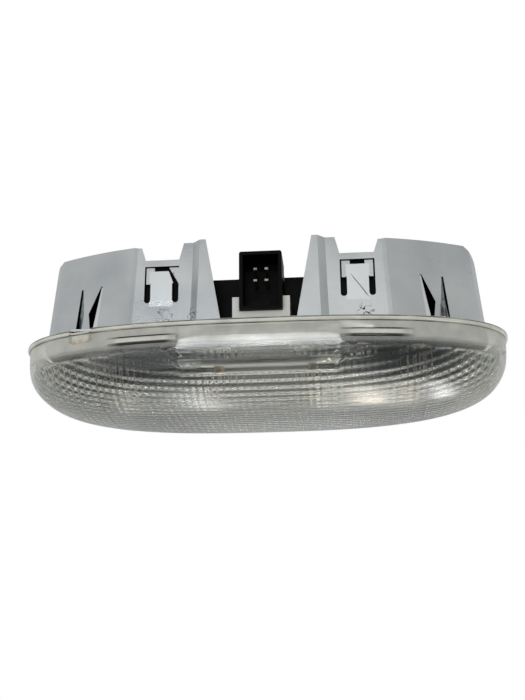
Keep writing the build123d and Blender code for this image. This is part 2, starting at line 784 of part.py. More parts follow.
with BuildPart() as lens:
    for share in levels:
        with BuildSketch(Plane.XY.offset(-lens_depth * share)):
            with BuildLine():
                Spline(
                    *oval(wall_x * shrink(share, end_power), wall_y * shrink(share, side_power)),
                    periodic=True,
                )
            make_face()
    loft()
    with BuildSketch():
        with BuildLine():
            Spline(*oval(rim_length / 2, rim_width / 2), periodic=True)
        make_face()
    extrude(amount=-rim_thickness)
    # Snap ridges: what is left of a larger oval between the panel and the ends
    with BuildSketch(Plane.XY.offset(-ridge_drop - ridge_height / 2)):
        with BuildLine():
            Spline(*oval(ridge_half_x, ridge_half_y), periodic=True)
        make_face()
        Rectangle(2 * ridge_start, 2 * rim_width, mode=Mode.SUBTRACT)
        with Locations((-ridge_end, 0)):
            Rectangle(rim_length, 2 * rim_width, align=(Align.MAX, Align.CENTER), mode=Mode.SUBTRACT)
        with Locations((ridge_end, 0)):
            Rectangle(rim_length, 2 * rim_width, align=(Align.MIN, Align.CENTER), mode=Mode.SUBTRACT)
    extrude(amount=ridge_height)
    # Plain band at the top of the hollow
    with BuildSketch():
        with BuildLine():
            Spline(*oval(inner_x, inner_y), periodic=True)
        make_face()
    extrude(amount=-plain_band, mode=Mode.SUBTRACT)
    # Clear panel pressed into the plug side
    with BuildSketch(Plane.XZ.offset(recess_face)):
        with BuildLine():
            Polyline(
                (0, -recess_top),
                (recess_top_half, -recess_top),
                (recess_waist_half, -recess_waist),
                (recess_foot_half, -recess_foot),
                (0, -recess_foot),
            )
            mirror(about=Plane.YZ)
        make_face()
    extrude(amount=2 * recess_depth, mode=Mode.SUBTRACT)
    # Seats under the edge of the pan
    with BuildSketch(Plane.XY.offset(-pan_drop)):
        for side_x in (-1, 1):
            for side_y in (-1, 1):
                with Locations((side_x * seat_x, side_y * (seat_wall_y + fit))):
                    Rectangle(seat_width, seat_reach + fit, align=(Align.CENTER, seat_align[side_y]))
                with Locations((side_x * (seat_wall_x + fit), side_y * seat_y)):
                    Rectangle(
                        seat_reach + shield_end_gap + fit,
                        seat_width,
                        align=(seat_align[side_x], Align.CENTER),
                    )
    extrude(amount=-seat_height)
    # Rim notches for the two long toes, each over a springy tab between two slits
    with BuildSketch(Plane.XY):
        for side in (-1, 1):
            with Locations((side * hook_foot_x, side * hook_wall)):
                Rectangle(hook_notch_width, 4 * (lens_wall + rim_overhang))
    extrude(amount=-hook_notch_depth, mode=Mode.SUBTRACT)
    with BuildSketch(Plane.XY):
        for side in (-1, 1):
            for edge in (-1, 1):
                slit_x = side * hook_foot_x + edge * (hook_notch_width - tab_slit) / 2
                with Locations((slit_x, side * hook_wall)):
                    Rectangle(tab_slit, 4 * (lens_wall + rim_overhang))
    extrude(amount=-tab_slit_depth, mode=Mode.SUBTRACT)
    # Bowl below the plain band, scalloped from flute to flute
    for x, wall in stations:
        curve = cavity_curve(x, wall)
        with BuildSketch(Plane.YZ.offset(x)):
            with BuildLine():
                Polyline((curve[0][0], flute_roof), *curve, (curve[-1][0], flute_roof), close=True)
            make_face()
    loft(ruled=True, mode=Mode.SUBTRACT)
    # Backing of the clear panel, so that the wall keeps its thickness
    with BuildSketch(Plane.XZ.offset(recess_face - lens_wall)):
        with BuildLine():
            Polyline(
                (0, -pan_drop - 2 * fit),
                (recess_top_half + lens_wall, -pan_drop - 2 * fit),
                (recess_waist_half + lens_wall, -recess_waist),
                (recess_foot_half + lens_wall, -recess_foot - lens_wall),
                (0, -recess_foot - lens_wall),
            )
            mirror(about=Plane.YZ)
        make_face()
    extrude(amount=recess_depth + fit)
lens.part.label = "lens"
export_step(lens.part, "parts/lens.step")
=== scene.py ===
# %% [markdown]
# # Car dome light
# This lesson dresses a car dome light that was drawn in CAD: a deep clear lens below, a folded metal
# shield above it, a plug socket between the shield's two tall tabs, and two small bulbs inside.
# The CAD model comes in first as a fixed frame. Everything made later is placed in the same frame, in
# metres, with +Z pointing into the car's roof and the plug towards -Y.

# %% Load the frame
import bpy
import math
import numpy as np
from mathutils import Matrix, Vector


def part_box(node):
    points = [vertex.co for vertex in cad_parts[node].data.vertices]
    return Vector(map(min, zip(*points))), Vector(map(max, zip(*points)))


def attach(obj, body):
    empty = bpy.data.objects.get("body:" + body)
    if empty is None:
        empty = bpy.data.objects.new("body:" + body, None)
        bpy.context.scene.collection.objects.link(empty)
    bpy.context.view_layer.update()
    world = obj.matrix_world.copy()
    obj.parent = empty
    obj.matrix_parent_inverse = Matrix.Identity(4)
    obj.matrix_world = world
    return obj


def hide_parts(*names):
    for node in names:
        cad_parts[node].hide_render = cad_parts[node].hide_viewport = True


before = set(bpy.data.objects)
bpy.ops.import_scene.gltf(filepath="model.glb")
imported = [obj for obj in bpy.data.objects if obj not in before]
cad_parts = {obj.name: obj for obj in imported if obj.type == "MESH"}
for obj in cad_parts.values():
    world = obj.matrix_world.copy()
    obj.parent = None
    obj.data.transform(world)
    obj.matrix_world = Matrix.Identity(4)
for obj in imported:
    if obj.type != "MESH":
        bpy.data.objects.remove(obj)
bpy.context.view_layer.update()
scene = bpy.context.scene
MM = 0.001
print("nodes in the frame:", len(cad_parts))

# %% [markdown]
# ## Camera
# The lamp was photographed from a little below its rim, so the camera sits under the lamp and looks up.
# A camera can be aimed by hand, but here its direction, distance and focal length are written down as
# measured values. The direction is turned into three axes, and those axes become the camera's matrix.

# %% Camera
from mathutils import Matrix, Vector

IMAGE_WIDTH = 525
IMAGE_HEIGHT = 700
CAMERA_AZIMUTH = math.radians(4.28)
CAMERA_ELEVATION = math.radians(-17.89)
CAMERA_ROLL = math.radians(0.60)
CAMERA_DISTANCE = 380 * MM
FOCAL_PIXELS = 998.3
ORIGIN_PIXEL_X = 265.85
ORIGIN_PIXEL_Y = 350.0
SENSOR_WIDTH = 36.0
NEAREST_SEEN = 10 * MM


def add_object(name, data):
    """Put a new object with this data into the scene."""
    made = bpy.data.objects.new(name, data)
    scene.collection.objects.link(made)
    return made


camera_data = bpy.data.cameras.new("photo_camera")
camera = add_object("photo_camera", camera_data)
back = Vector((
    math.sin(CAMERA_AZIMUTH) * math.cos(CAMERA_ELEVATION),
    -math.cos(CAMERA_AZIMUTH) * math.cos(CAMERA_ELEVATION),
    math.sin(CAMERA_ELEVATION),
))
level_right = Vector((math.cos(CAMERA_AZIMUTH), math.sin(CAMERA_AZIMUTH), 0))
level_up = back.cross(level_right)
right = level_right * math.cos(CAMERA_ROLL) - level_up * math.sin(CAMERA_ROLL)
up = level_up * math.cos(CAMERA_ROLL) + level_right * math.sin(CAMERA_ROLL)
turn = Matrix((right, up, back)).transposed().to_4x4()
camera.matrix_world = Matrix.Translation(back * CAMERA_DISTANCE) @ turn
camera_data.sensor_fit = "HORIZONTAL"
camera_data.sensor_width = SENSOR_WIDTH
camera_data.lens = SENSOR_WIDTH * FOCAL_PIXELS / IMAGE_WIDTH
camera_data.shift_x = (IMAGE_WIDTH / 2 - ORIGIN_PIXEL_X) / IMAGE_WIDTH
camera_data.shift_y = (ORIGIN_PIXEL_Y - IMAGE_HEIGHT / 2) / IMAGE_WIDTH
camera_data.clip_start = NEAREST_SEEN
scene.camera = camera
print("camera at", [round(v, 3) for v in camera.location])

# %% [markdown]
# ## Small helpers for node trees
# Every finish below is a node tree. A few helpers keep the cells short: one adds a node and sets its
# inputs, one starts a material with a Principled shader, and the others add the nodes used most often:
# noise, ranges, mixes and sums.

# %% Node helpers


def add_node(tree, kind, inputs=None, **settings):
    """Add a node, set its properties, then set or link its inputs by name or number."""
    node = tree.nodes.new(kind)
    for key, value in settings.items():
        setattr(node, key, value)
    for key, value in (inputs or {}).items():
        socket = node.inputs[key]
        if isinstance(value, bpy.types.NodeSocket):
            tree.links.new(value, socket)
        else:
            socket.default_value = value
    return node


def new_finish(name, **values):
    """Start a material; plain values go straight on the shader's sockets."""
    material = bpy.data.materials.new(name)
    material.use_nodes = True
    tree = material.node_tree
    shader = tree.nodes["Principled BSDF"]
    for key, value in values.items():
        shader.inputs[key.replace("_", " ")].default_value = value
    place = add_node(tree, "ShaderNodeTexCoord").outputs["Object"]
    return material, tree, shader, place


def noise(tree, place, scale, detail=3.0, rough=0.55):
    """Cloudy grey pattern, with its scale in blotches for each metre."""
    return add_node(
        tree, "ShaderNodeTexNoise",
        {"Vector": place, "Scale": scale, "Detail": detail, "Roughness": rough},
    ).outputs["Fac"]


def ramp(tree, value, low, high, start, end):
    """Map a value from low..high to start..end, clamped at both ends."""
    return add_node(
        tree, "ShaderNodeMapRange",
        {"Value": value, "From Min": low, "From Max": high, "To Min": start, "To Max": end},
    ).outputs["Result"]


def blend_colour(tree, amount, first, second):
    """Mix two colours, or a colour and a socket, by an amount."""
    return add_node(tree, "ShaderNodeMix", {0: amount, 6: first, 7: second}, data_type="RGBA").outputs[2]


def bump(tree, shader, height, strength, distance):
    """Let a height pattern tilt the surface that the light sees."""
    node = add_node(
        tree, "ShaderNodeBump",
        {"Height": height, "Strength": strength, "Distance": distance},
    )
    tree.links.new(node.outputs["Normal"], shader.inputs["Normal"])


def combine(tree, operation, *values):
    """Fold several numbers or sockets with one kind of Math node."""
    total = values[0]
    for value in values[1:]:
        total = add_node(tree, "ShaderNodeMath", {0: total, 1: value}, operation=operation).outputs[0]
    return total


def vector_math(tree, operation, *vectors):
    """Vector Math node; a distance or a dot product comes back as a number, the rest as a vector."""
    node = add_node(tree, "ShaderNodeVectorMath", dict(enumerate(vectors)), operation=operation)
    return node.outputs["Value" if operation in ("DISTANCE", "DOT_PRODUCT") else "Vector"]


print("node helpers ready")

# %% [markdown]
# A mask is a number from 0 to 1 that says how strongly a mark shows at a place. Two kinds are enough
# here: lines and balls, both with soft edges.

# %% Soft masks


def away_from(tree, value, centre):
    """How far a value lies from a centre, on either side."""
    return combine(tree, "ABSOLUTE", combine(tree, "SUBTRACT", value, centre), 0.0)


def line_mask(tree, value, centre, width):
    """1 on a line where a value equals the centre, falling to 0 at half the width."""
    return ramp(tree, away_from(tree, value, centre), width * 0.3, width * 0.5, 1, 0)


def ball_mask(tree, place, centre, reach):
    """1 in the middle of a ball, falling to 0 at its edge."""
    return ramp(tree, vector_math(tree, "DISTANCE", place, centre), reach * 0.6, reach, 1, 0)


print("masks ready")

# %% [markdown]
# ## Sky
# A product picture like this one has a white ground. The ground that the camera sees is pure white,
# while the lamp itself is lit by a dimmer sky: brightest a little above the horizon, darker below, and
# a shade brighter on the left. A plain white world would be simpler, but metal and clear plastic would
# wash out to white in it.

# %% Sky
# Share of the way from straight down to straight up, and the grey there
SKY_STOPS = (
    (0.00, 0.30), (0.30, 0.28), (0.50, 0.42), (0.60, 0.55), (0.70, 0.56),
    (0.80, 0.41), (0.88, 0.38), (1.00, 0.38),
)
SKY_TINT = (0.98, 1.0, 1.01)
SKY_LEFT = 1.08
SKY_RIGHT = 0.96

world = bpy.data.worlds.new("studio")
scene.world = world
world.use_nodes = True
sky = world.node_tree
sky.nodes.clear()
direction = add_node(sky, "ShaderNodeTexCoord").outputs["Generated"]
axes = add_node(sky, "ShaderNodeSeparateXYZ", {"Vector": direction}).outputs
sky_ramp = add_node(sky, "ShaderNodeValToRGB", {"Fac": ramp(sky, axes["Z"], -1, 1, 0, 1)})
stops = sky_ramp.color_ramp.elements
for position, grey in SKY_STOPS:
    stop = stops[0] if position == 0 else stops[-1] if position == 1 else stops.new(position)
    stop.position = position
    stop.color = [grey * tint for tint in SKY_TINT] + [1]
side_light = ramp(sky, axes["X"], -1, 1, SKY_LEFT, SKY_RIGHT)
soft = add_node(sky, "ShaderNodeBackground", {"Color": sky_ramp.outputs["Color"], "Strength": side_light})
white = add_node(sky, "ShaderNodeBackground", {"Color": (1, 1, 1, 1), "Strength": 1.0})
camera_ray = add_node(sky, "ShaderNodeLightPath").outputs["Is Camera Ray"]
both = add_node(sky, "ShaderNodeMixShader", {0: camera_ray, 1: soft.outputs[0], 2: white.outputs[0]})
add_node(sky, "ShaderNodeOutputWorld", {"Surface": both.outputs[0]})
scene.view_settings.view_transform = "Standard"
print("sky stops:", len(stops))

# %% [markdown]
# ## Lights
# Softboxes could light all of the lamp, but metal mirrors their edges, so they are kept few: a strip and
# a fill in front, and three strips that lie low behind the lamp, facing up, and show as bright patches in
# the lens.

# %% Lights
FRONT_STRIP_PLACE = (0.0, -0.90, 0.283)
FRONT_STRIP_TARGET = (0, 0, -0.01)
FRONT_STRIP_SIZE = (0.55, 0.016)
FRONT_STRIP_POWER = 0.26
FRONT_STRIP_COLOUR = (0.94, 0.98, 1.0)
FRONT_FILL_PLACE = (-0.35, -0.80, -0.15)
FRONT_FILL_SIZE = (0.9, 0.5)
FRONT_FILL_POWER = 1.4
# Name, x, width, watts for each metre of width, colour
LOW_STRIPS = (
    ("low_left", -0.10, 0.03, 9, (1, 1, 1)),
    ("low_right", 0.085, 0.035, 18, (1.0, 0.92, 0.80)),
    ("low_end", 0.23, 0.06, 14, (1, 1, 1)),
)
LOW_Y = 0.26
LOW_Z = -0.38
LOW_LENGTH = 0.5
LOW_LEAN = 0.01


def softbox(name, place, target, size, power, colour=(1, 1, 1)):
    """Rectangular area light that faces a target point."""
    data = bpy.data.lights.new(name, "AREA")
    data.shape = "RECTANGLE"
    data.size, data.size_y = size
    data.energy = power
    data.color = colour
    light = add_object(name, data)
    light.location = place
    light.rotation_euler = (Vector(target) - Vector(place)).to_track_quat("-Z", "Y").to_euler()


softbox(
    "front_strip", FRONT_STRIP_PLACE, FRONT_STRIP_TARGET, FRONT_STRIP_SIZE, FRONT_STRIP_POWER,
    FRONT_STRIP_COLOUR)
softbox("front_fill", FRONT_FILL_PLACE, (0, 0, 0), FRONT_FILL_SIZE, FRONT_FILL_POWER)
for name, x, width, power, colour in LOW_STRIPS:
    # A target a touch off the point straight above keeps the strip's length along Y
    above = (x, LOW_Y - LOW_LEAN, 0)
    softbox(name, (x, LOW_Y, LOW_Z), above, (width, LOW_LENGTH), width * power, colour)

# %% [markdown]
# ## Floor
# The floor is one pale square that glows a little. It lies far down, so that the lamp can be looked at
# from below too.

# %% Floor
FLOOR_DEPTH = -1.5
FLOOR_SIZE = 60.0
FLOOR_COLOUR = (0.80, 0.80, 0.79, 1)
FLOOR_GLOW = 0.05

half_floor = FLOOR_SIZE / 2
floor_mesh = bpy.data.meshes.new("floor")
floor_mesh.from_pydata(
    [(x * half_floor, y * half_floor, FLOOR_DEPTH) for x, y in ((-1, -1), (1, -1), (1, 1), (-1, 1))],
    [], [(0, 1, 2, 3)])
floor = add_object("floor", floor_mesh)
floor_finish, _, _, _ = new_finish(
    "pale_floor", Base_Color=FLOOR_COLOUR, Roughness=0.8,
    Emission_Color=(1, 1, 1, 1), Emission_Strength=FLOOR_GLOW)
floor_mesh.materials.append(floor_finish)
print("floor at", FLOOR_DEPTH, "m")

# %% [markdown]
# ## Sheet metal
# The shield is bare rolled sheet: a cool grey metal with cloudy dulling, fine rolling lines and pits. A
# painted picture could hold all this, but patterns made by nodes stay sharp at any size. They read
# Object coordinates, so they stay put when the lamp is turned.

# %% Sheet metal: tone and pits
METAL_DULL = (0.56, 0.59, 0.61, 1)
METAL_CLEAN = (0.78, 0.79, 0.78, 1)
PIT_TONE = (0.10, 0.10, 0.10, 1)
CLOUD_SCALE = 36.0
CLOUD_RANGE = (0.32, 0.68)
PIT_SCALE = 330.0
PIT_SIZE = (0.035, 0.075)
PIT_FIELD_SCALE = 60.0
PIT_FIELD_RANGE = (0.50, 0.62)
ROLLING_STRETCH = (60.0, 60.0, 1400.0)

sheet_metal, tree, shader, place = new_finish("sheet_metal", Metallic=1.0)
clouds = noise(tree, place, CLOUD_SCALE, 4.0, 0.5)
pits = add_node(
    tree, "ShaderNodeTexVoronoi", {"Vector": place, "Scale": PIT_SCALE, "Randomness": 1.0},
).outputs["Distance"]
pit_amount = combine(
    tree, "MULTIPLY", ramp(tree, pits, *PIT_SIZE, 1, 0),
    ramp(tree, noise(tree, place, PIT_FIELD_SCALE, 2.0), *PIT_FIELD_RANGE, 0, 1))
metal_colour = blend_colour(tree, ramp(tree, clouds, *CLOUD_RANGE, 0, 1), METAL_DULL, METAL_CLEAN)
metal_colour = blend_colour(tree, pit_amount, metal_colour, PIT_TONE)
stretched = add_node(
    tree, "ShaderNodeMapping", {"Vector": place, "Scale": ROLLING_STRETCH}).outputs["Vector"]
bump(tree, shader, noise(tree, stretched, 1.0, 2.0), 0.06, 0.0004)
print("sheet metal has", len(tree.nodes), "nodes so far")

# %% [markdown]
# One long scratch and three patches of scribbled ones mark the near wall. The scribbles are the level
# lines of a noise, kept inside small balls. The long scratch is the line where a slanting plane meets
# the wall, bent a little by noise.

# %% Sheet metal: scratches
SCRIBBLES = (
    (-34.0 * MM, -30.1 * MM, 4.2 * MM),
    (-23.8 * MM, -30.9 * MM, 4.4 * MM),
    (37.6 * MM, -30.1 * MM, 3.8 * MM),
)
SCRIBBLE_REACH = 3.6 * MM
SCRIBBLE_SCALE = 520.0
SCRATCH_MIDDLE = (35.9 * MM, -30.1 * MM, 13.2 * MM)
SCRATCH_NORMAL = (0.82, 0, 0.58)
SCRATCH_PLACE = SCRATCH_NORMAL[0] * SCRATCH_MIDDLE[0] + SCRATCH_NORMAL[2] * SCRATCH_MIDDLE[2]
SCRATCH_WIDTH = 0.35 * MM
SCRATCH_REACH = 6.0 * MM
SCRATCH_BEND = 1.2 * MM
SCRATCH_TONE = (0.03, 0.03, 0.03, 1)

scribble = combine(
    tree, "MULTIPLY",
    line_mask(tree, noise(tree, place, SCRIBBLE_SCALE, 1.0), 0.5, 0.05),
    combine(tree, "MAXIMUM", *[ball_mask(tree, place, centre, SCRIBBLE_REACH) for centre in SCRIBBLES]))
swerve = combine(tree, "SUBTRACT", noise(tree, place, 120.0, 1.0), 0.5)
across_scratch = combine(
    tree, "ADD", vector_math(tree, "DOT_PRODUCT", place, SCRATCH_NORMAL),
    combine(tree, "MULTIPLY", swerve, SCRATCH_BEND))
scratch = combine(
    tree, "MULTIPLY",
    line_mask(tree, across_scratch, SCRATCH_PLACE, SCRATCH_WIDTH),
    ball_mask(tree, place, SCRATCH_MIDDLE, SCRATCH_REACH))
metal_colour = blend_colour(
    tree, combine(tree, "MAXIMUM", scribble, scratch), metal_colour, SCRATCH_TONE)
print("scratches: 1 long,", len(SCRIBBLES), "patches")

# %% [markdown]
# The inner faces of the walls are painted darker, as painted shade inside the shield. The underside of
# the pan is the reflector: smoother, and painted darker as painted shade. Round the bulbs it goes near
# black, heat darkening and a painted dark reflection in one mark. Which face is which could be painted by
# hand, but the normal tells: an inner face looks towards the lamp's middle, and the underside looks down.

# %% Sheet metal: inner faces and underside
INNER_PAINTED_SHADE_TONE = (0.45, 0.46, 0.47, 1)
INNER_RANGE = (-0.004, -0.001)
UNDER_PAINTED_SHADE_TONE = (0.25, 0.25, 0.24, 1)
UNDER_RANGE = (-0.9, -0.6)
UNDER_POLISH = 0.4
SCORCH_AND_DARK_REFLECTION_TONE = (0.015, 0.016, 0.018, 1)
SCORCH_AND_DARK_REFLECTION_CENTRE = (50 * MM, 10 * MM, 0)
SCORCH_AND_DARK_REFLECTION_CORE = 22 * MM
SCORCH_AND_DARK_REFLECTION_EDGE = 33 * MM
SHEET_ROUGHNESS = (0.22, 0.40)

facing = add_node(tree, "ShaderNodeTexCoord").outputs["Normal"]
sideways = vector_math(tree, "MULTIPLY", place, (1, 1, 0))
inner_face = ramp(tree, vector_math(tree, "DOT_PRODUCT", facing, sideways), *INNER_RANGE, 1, 0)
# Painted shade: the inner faces of the walls are darkened to stand for the shade inside the shield
metal_colour = blend_colour(tree, inner_face, metal_colour, INNER_PAINTED_SHADE_TONE)
downward = add_node(tree, "ShaderNodeSeparateXYZ", {"Vector": facing}).outputs["Z"]
under_face = ramp(tree, downward, *UNDER_RANGE, 1, 0)
# Painted shade: the whole underside of the pan is darkened for the shade inside the lens
metal_colour = blend_colour(tree, under_face, metal_colour, UNDER_PAINTED_SHADE_TONE)
# Round the bulbs the underside goes near black: heat darkening together with a painted dark reflection
from_bulb = vector_math(tree, "DISTANCE", vector_math(tree, "ABSOLUTE", place), SCORCH_AND_DARK_REFLECTION_CENTRE)
scorch_and_dark_reflection = combine(tree, "MULTIPLY", ramp(tree, from_bulb, SCORCH_AND_DARK_REFLECTION_CORE, SCORCH_AND_DARK_REFLECTION_EDGE, 1, 0), under_face)
metal_colour = blend_colour(tree, scorch_and_dark_reflection, metal_colour, SCORCH_AND_DARK_REFLECTION_TONE)
tree.links.new(metal_colour, shader.inputs["Base Color"])
sheet_rough = ramp(tree, clouds, *CLOUD_RANGE, *SHEET_ROUGHNESS)
polish = ramp(tree, downward, *UNDER_RANGE, UNDER_POLISH, 1)
tree.links.new(combine(tree, "MULTIPLY", sheet_rough, polish), shader.inputs["Roughness"])
print("sheet metal has", len(tree.nodes), "nodes")

# %% [markdown]
# ## Plastics and small metals
# The socket and its cover are black mouldings, and the lamp base is an ivory one that has yellowed a
# little. A fine bump stands for the grain that the mould leaves: the grain is far too small to model.

# %% Moulded plastics
BLACK = (0.0008, 0.0010, 0.0010, 1)
BLACK_DUST = (0.006, 0.006, 0.006, 1)
BLACK_SPECULAR = 0.1
IVORY = (0.93, 0.92, 0.87, 1)
IVORY_YELLOWED = (0.86, 0.83, 0.72, 1)
# Strength and depth of the grain
GRAIN = (0.05, 0.0002)

black_moulding, tree, shader, place = new_finish("black_moulding", Specular_IOR_Level=BLACK_SPECULAR)
dust = ramp(tree, noise(tree, place, 160.0, 4.0), 0.55, 0.75, 0, 0.2)
tree.links.new(blend_colour(tree, dust, BLACK, BLACK_DUST), shader.inputs["Base Color"])
tree.links.new(ramp(tree, noise(tree, place, 90.0), 0.3, 0.7, 0.30, 0.48), shader.inputs["Roughness"])
bump(tree, shader, noise(tree, place, 1800.0, 2.0), *GRAIN)

ivory_moulding, tree, shader, place = new_finish("ivory_moulding", Subsurface_Weight=0.08)
yellowing = ramp(tree, noise(tree, place, 50.0, 4.0), 0.35, 0.75, 0, 1)
tree.links.new(blend_colour(tree, yellowing, IVORY, IVORY_YELLOWED), shader.inputs["Base Color"])
tree.links.new(ramp(tree, noise(tree, place, 120.0), 0.3, 0.7, 0.35, 0.55), shader.inputs["Roughness"])
bump(tree, shader, noise(tree, place, 1500.0, 2.0), *GRAIN)
print("mouldings:", black_moulding.name, "and", ivory_moulding.name)

# %% [markdown]
# The terminals are tinned brass, the bulb contacts plain spring brass, and the bulb caps nickel-plated.
# One function makes all of them: a metal whose colour wanders between a clean and a dull tone.

# %% Plated and bare metals


def worn_metal(name, clean, dull, smooth, rough, scale=220.0):
    """Metal that goes from a clean, smooth tone to a dull, rougher one in patches."""
    material, tree, shader, place = new_finish(name, Metallic=1.0)
    patches = ramp(tree, noise(tree, place, scale, 4.0), 0.35, 0.7, 0, 1)
    tree.links.new(blend_colour(tree, patches, clean, dull), shader.inputs["Base Color"])
    tree.links.new(ramp(tree, patches, 0, 1, smooth, rough), shader.inputs["Roughness"])
    bump(tree, shader, noise(tree, place, 2500.0, 2.0), 0.04, 0.0001)
    return material


# The tinned brass is darker than clean tin: painted shade for the pins deep in the socket
tinned_brass_painted_shade = worn_metal("tinned_brass_painted_shade", (0.42, 0.41, 0.37, 1), (0.24, 0.22, 0.18, 1), 0.25, 0.40)
spring_brass = worn_metal("spring_brass", (0.76, 0.60, 0.28, 1), (0.52, 0.38, 0.17, 1), 0.22, 0.40)
nickel_plate = worn_metal("nickel_plate", (0.80, 0.78, 0.74, 1), (0.60, 0.58, 0.54, 1), 0.12, 0.30)
rivet_metal = worn_metal("rivet_metal", (0.72, 0.73, 0.74, 1), (0.52, 0.52, 0.51, 1), 0.28, 0.45)
# The next two finishes are one sheet metal in a lit and a shaded copy for the hook lips: the first a
# painted highlight, the second painted shade
lip_painted_highlight = worn_metal("lip_painted_highlight", (0.97, 0.97, 0.97, 1), (0.90, 0.91, 0.91, 1), 0.20, 0.32)
lip_painted_shade = worn_metal(
    "lip_painted_shade", (0.36, 0.38, 0.38, 1), (0.16, 0.18, 0.18, 1), 0.22, 0.36, 420.0)
tungsten = worn_metal("tungsten", (0.36, 0.35, 0.34, 1), (0.22, 0.22, 0.22, 1), 0.30, 0.45, 900.0)
bulb_glass, _, _, _ = new_finish(
    "bulb_glass", Base_Color=(0.98, 0.99, 0.98, 1), Transmission_Weight=1.0, Roughness=0.0, IOR=1.5)
print("finishes:", len(bpy.data.materials))

# %% [markdown]
# ## Lens plastic
# Lens plastic is clear with a faint olive cast, and age has clouded it. The haze is a share of the light
# that is scattered instead of let through: none on the pillows in the middle, and some on the round ends
# and the rim. On the rim's edge and the face of the snap bars it is near full, as a painted highlight.
# The small tab under the long hook toe has turned cream, with a brown stain along its foot. All of these
# are soft boxes in Object coordinates, and noise breaks them up.

# %% Lens plastic: haze
CLEAR = (0.94, 0.95, 0.92, 1)
CLOUDED = (0.93, 0.91, 0.80, 1)
STAIN = (0.62, 0.42, 0.14, 1)
NEAR_SIDE = (-20 * MM, -19 * MM)
TAB_X = -63.3 * MM
TAB_HALF = 3.7 * MM
TAB_EDGE = 0.3 * MM
TAB_FOOT = -4.9 * MM
TAB_FOOT_EDGE = 0.6 * MM
TAB_HAZE = 0.75
STAIN_HEIGHT = 1.6 * MM
RIM_HAZE_TOP = -7.0 * MM
RIM_HAZE_FOOT = -9.5 * MM
RIM_HAZE = 0.60
RIM_EDGE = -1.2 * MM
RIM_EDGE_WIDTH = 1.6 * MM
RIM_EDGE_PAINTED_HIGHLIGHT = 0.95
END_START = 68 * MM
END_FULL = 86 * MM
END_HAZE = 0.16
BAR_MIDDLE = 40.7 * MM
BAR_LENGTH = 27 * MM
BAR_FACE = -6.0 * MM
BAR_FACE_WIDTH = 2.6 * MM
BAR_PAINTED_HIGHLIGHT = 0.95

lens_plastic, tree, shader, place = new_finish("lens_plastic", Transmission_Weight=1.0, IOR=1.49)
axes = add_node(tree, "ShaderNodeSeparateXYZ", {"Vector": place}).outputs
from_middle = combine(tree, "ABSOLUTE", axes["X"], 0.0)
tab = combine(
    tree, "MULTIPLY",
    ramp(tree, away_from(tree, axes["X"], TAB_X), TAB_HALF, TAB_HALF + TAB_EDGE, 1, 0),
    ramp(tree, axes["Z"], TAB_FOOT - TAB_FOOT_EDGE, TAB_FOOT, 0, 1),
    ramp(tree, axes["Y"], *NEAR_SIDE, 1, 0))
rim_haze = ramp(tree, axes["Z"], RIM_HAZE_FOOT, RIM_HAZE_TOP, 0, RIM_HAZE)
# Painted highlight: a near-white line along the rim's edge
rim_edge_painted_highlight = combine(tree, "MULTIPLY", line_mask(tree, axes["Z"], RIM_EDGE, RIM_EDGE_WIDTH), RIM_EDGE_PAINTED_HIGHLIGHT)
end_haze = ramp(tree, from_middle, END_START, END_FULL, 0, END_HAZE)
tab_haze = combine(tree, "MULTIPLY", tab, TAB_HAZE)
on_bar = line_mask(tree, from_middle, BAR_MIDDLE, BAR_LENGTH)
# Painted highlight: the face of each snap bar is made near-white
bar_painted_highlight = combine(
    tree, "MULTIPLY", line_mask(tree, axes["Z"], BAR_FACE, BAR_FACE_WIDTH), on_bar, BAR_PAINTED_HIGHLIGHT)
haze_and_painted_highlight = combine(
    tree, "MULTIPLY",
    combine(tree, "MAXIMUM", rim_haze, rim_edge_painted_highlight, end_haze, tab_haze, bar_painted_highlight),
    ramp(tree, noise(tree, place, 110.0, 4.0), 0.3, 0.7, 0.7, 1.1))
tree.links.new(combine(tree, "SUBTRACT", 1.0, haze_and_painted_highlight), shader.inputs["Transmission Weight"])
mottle = ramp(tree, noise(tree, place, 420.0, 4.0), 0.35, 0.65, 0, 1)
stain = combine(
    tree, "MULTIPLY", tab, ramp(tree, axes["Z"], TAB_FOOT, TAB_FOOT + STAIN_HEIGHT, 1, 0), mottle)
lens_colour = blend_colour(tree, haze_and_painted_highlight, CLEAR, CLOUDED)
lens_colour = blend_colour(tree, stain, lens_colour, STAIN)
print("lens plastic has", len(tree.nodes), "nodes so far")

# %% [markdown]
# Dark lines run along the rim's top and bottom edges. Painted shade draws dark lines along the edges of
# the snap bars and a dark band in the ledge at the foot of the clear panel. Beside the bulbs a grey tint
# is a painted dark reflection in the wall. The outside of the bottom is rubbed dull, so that lights blur
# in
# it. The pillows inside stay smooth: the mesh stores how far they rise, and the finish reads that to tell
# inside from outside.

# %% Lens plastic: dark lines, painted shade and wear
LENS_DARK_TONE = (0.05, 0.05, 0.045, 1)
RIM_DARK_LINE_LEVELS = (-0.50 * MM, -1.90 * MM)
RIM_DARK_LINE_WIDTH = 0.45 * MM
BAR_PAINTED_SHADE_LEVELS = (-4.9 * MM, -7.4 * MM)
BAR_PAINTED_SHADE_WIDTH = 0.9 * MM
LEDGE_LEVEL = -14.95 * MM
LEDGE_WIDTH = 2.52 * MM
LEDGE_LENGTH = 59.85 * MM
LEDGE_PAINTED_SHADE = 0.85
DARK_REFLECTION_TINT = (0.30, 0.32, 0.33, 1)
DARK_REFLECTION_PLACES = (-43 * MM, 52 * MM)
DARK_REFLECTION_CORE = 9 * MM
DARK_REFLECTION_EDGE = 19 * MM
DARK_REFLECTION_TOP = -10.2 * MM
DARK_REFLECTION_TOP_EDGE = 0.8 * MM
DARK_REFLECTION_FULL = -14.5 * MM
DARK_REFLECTION_FOOT = -22.0 * MM
WORN_START = -15 * MM
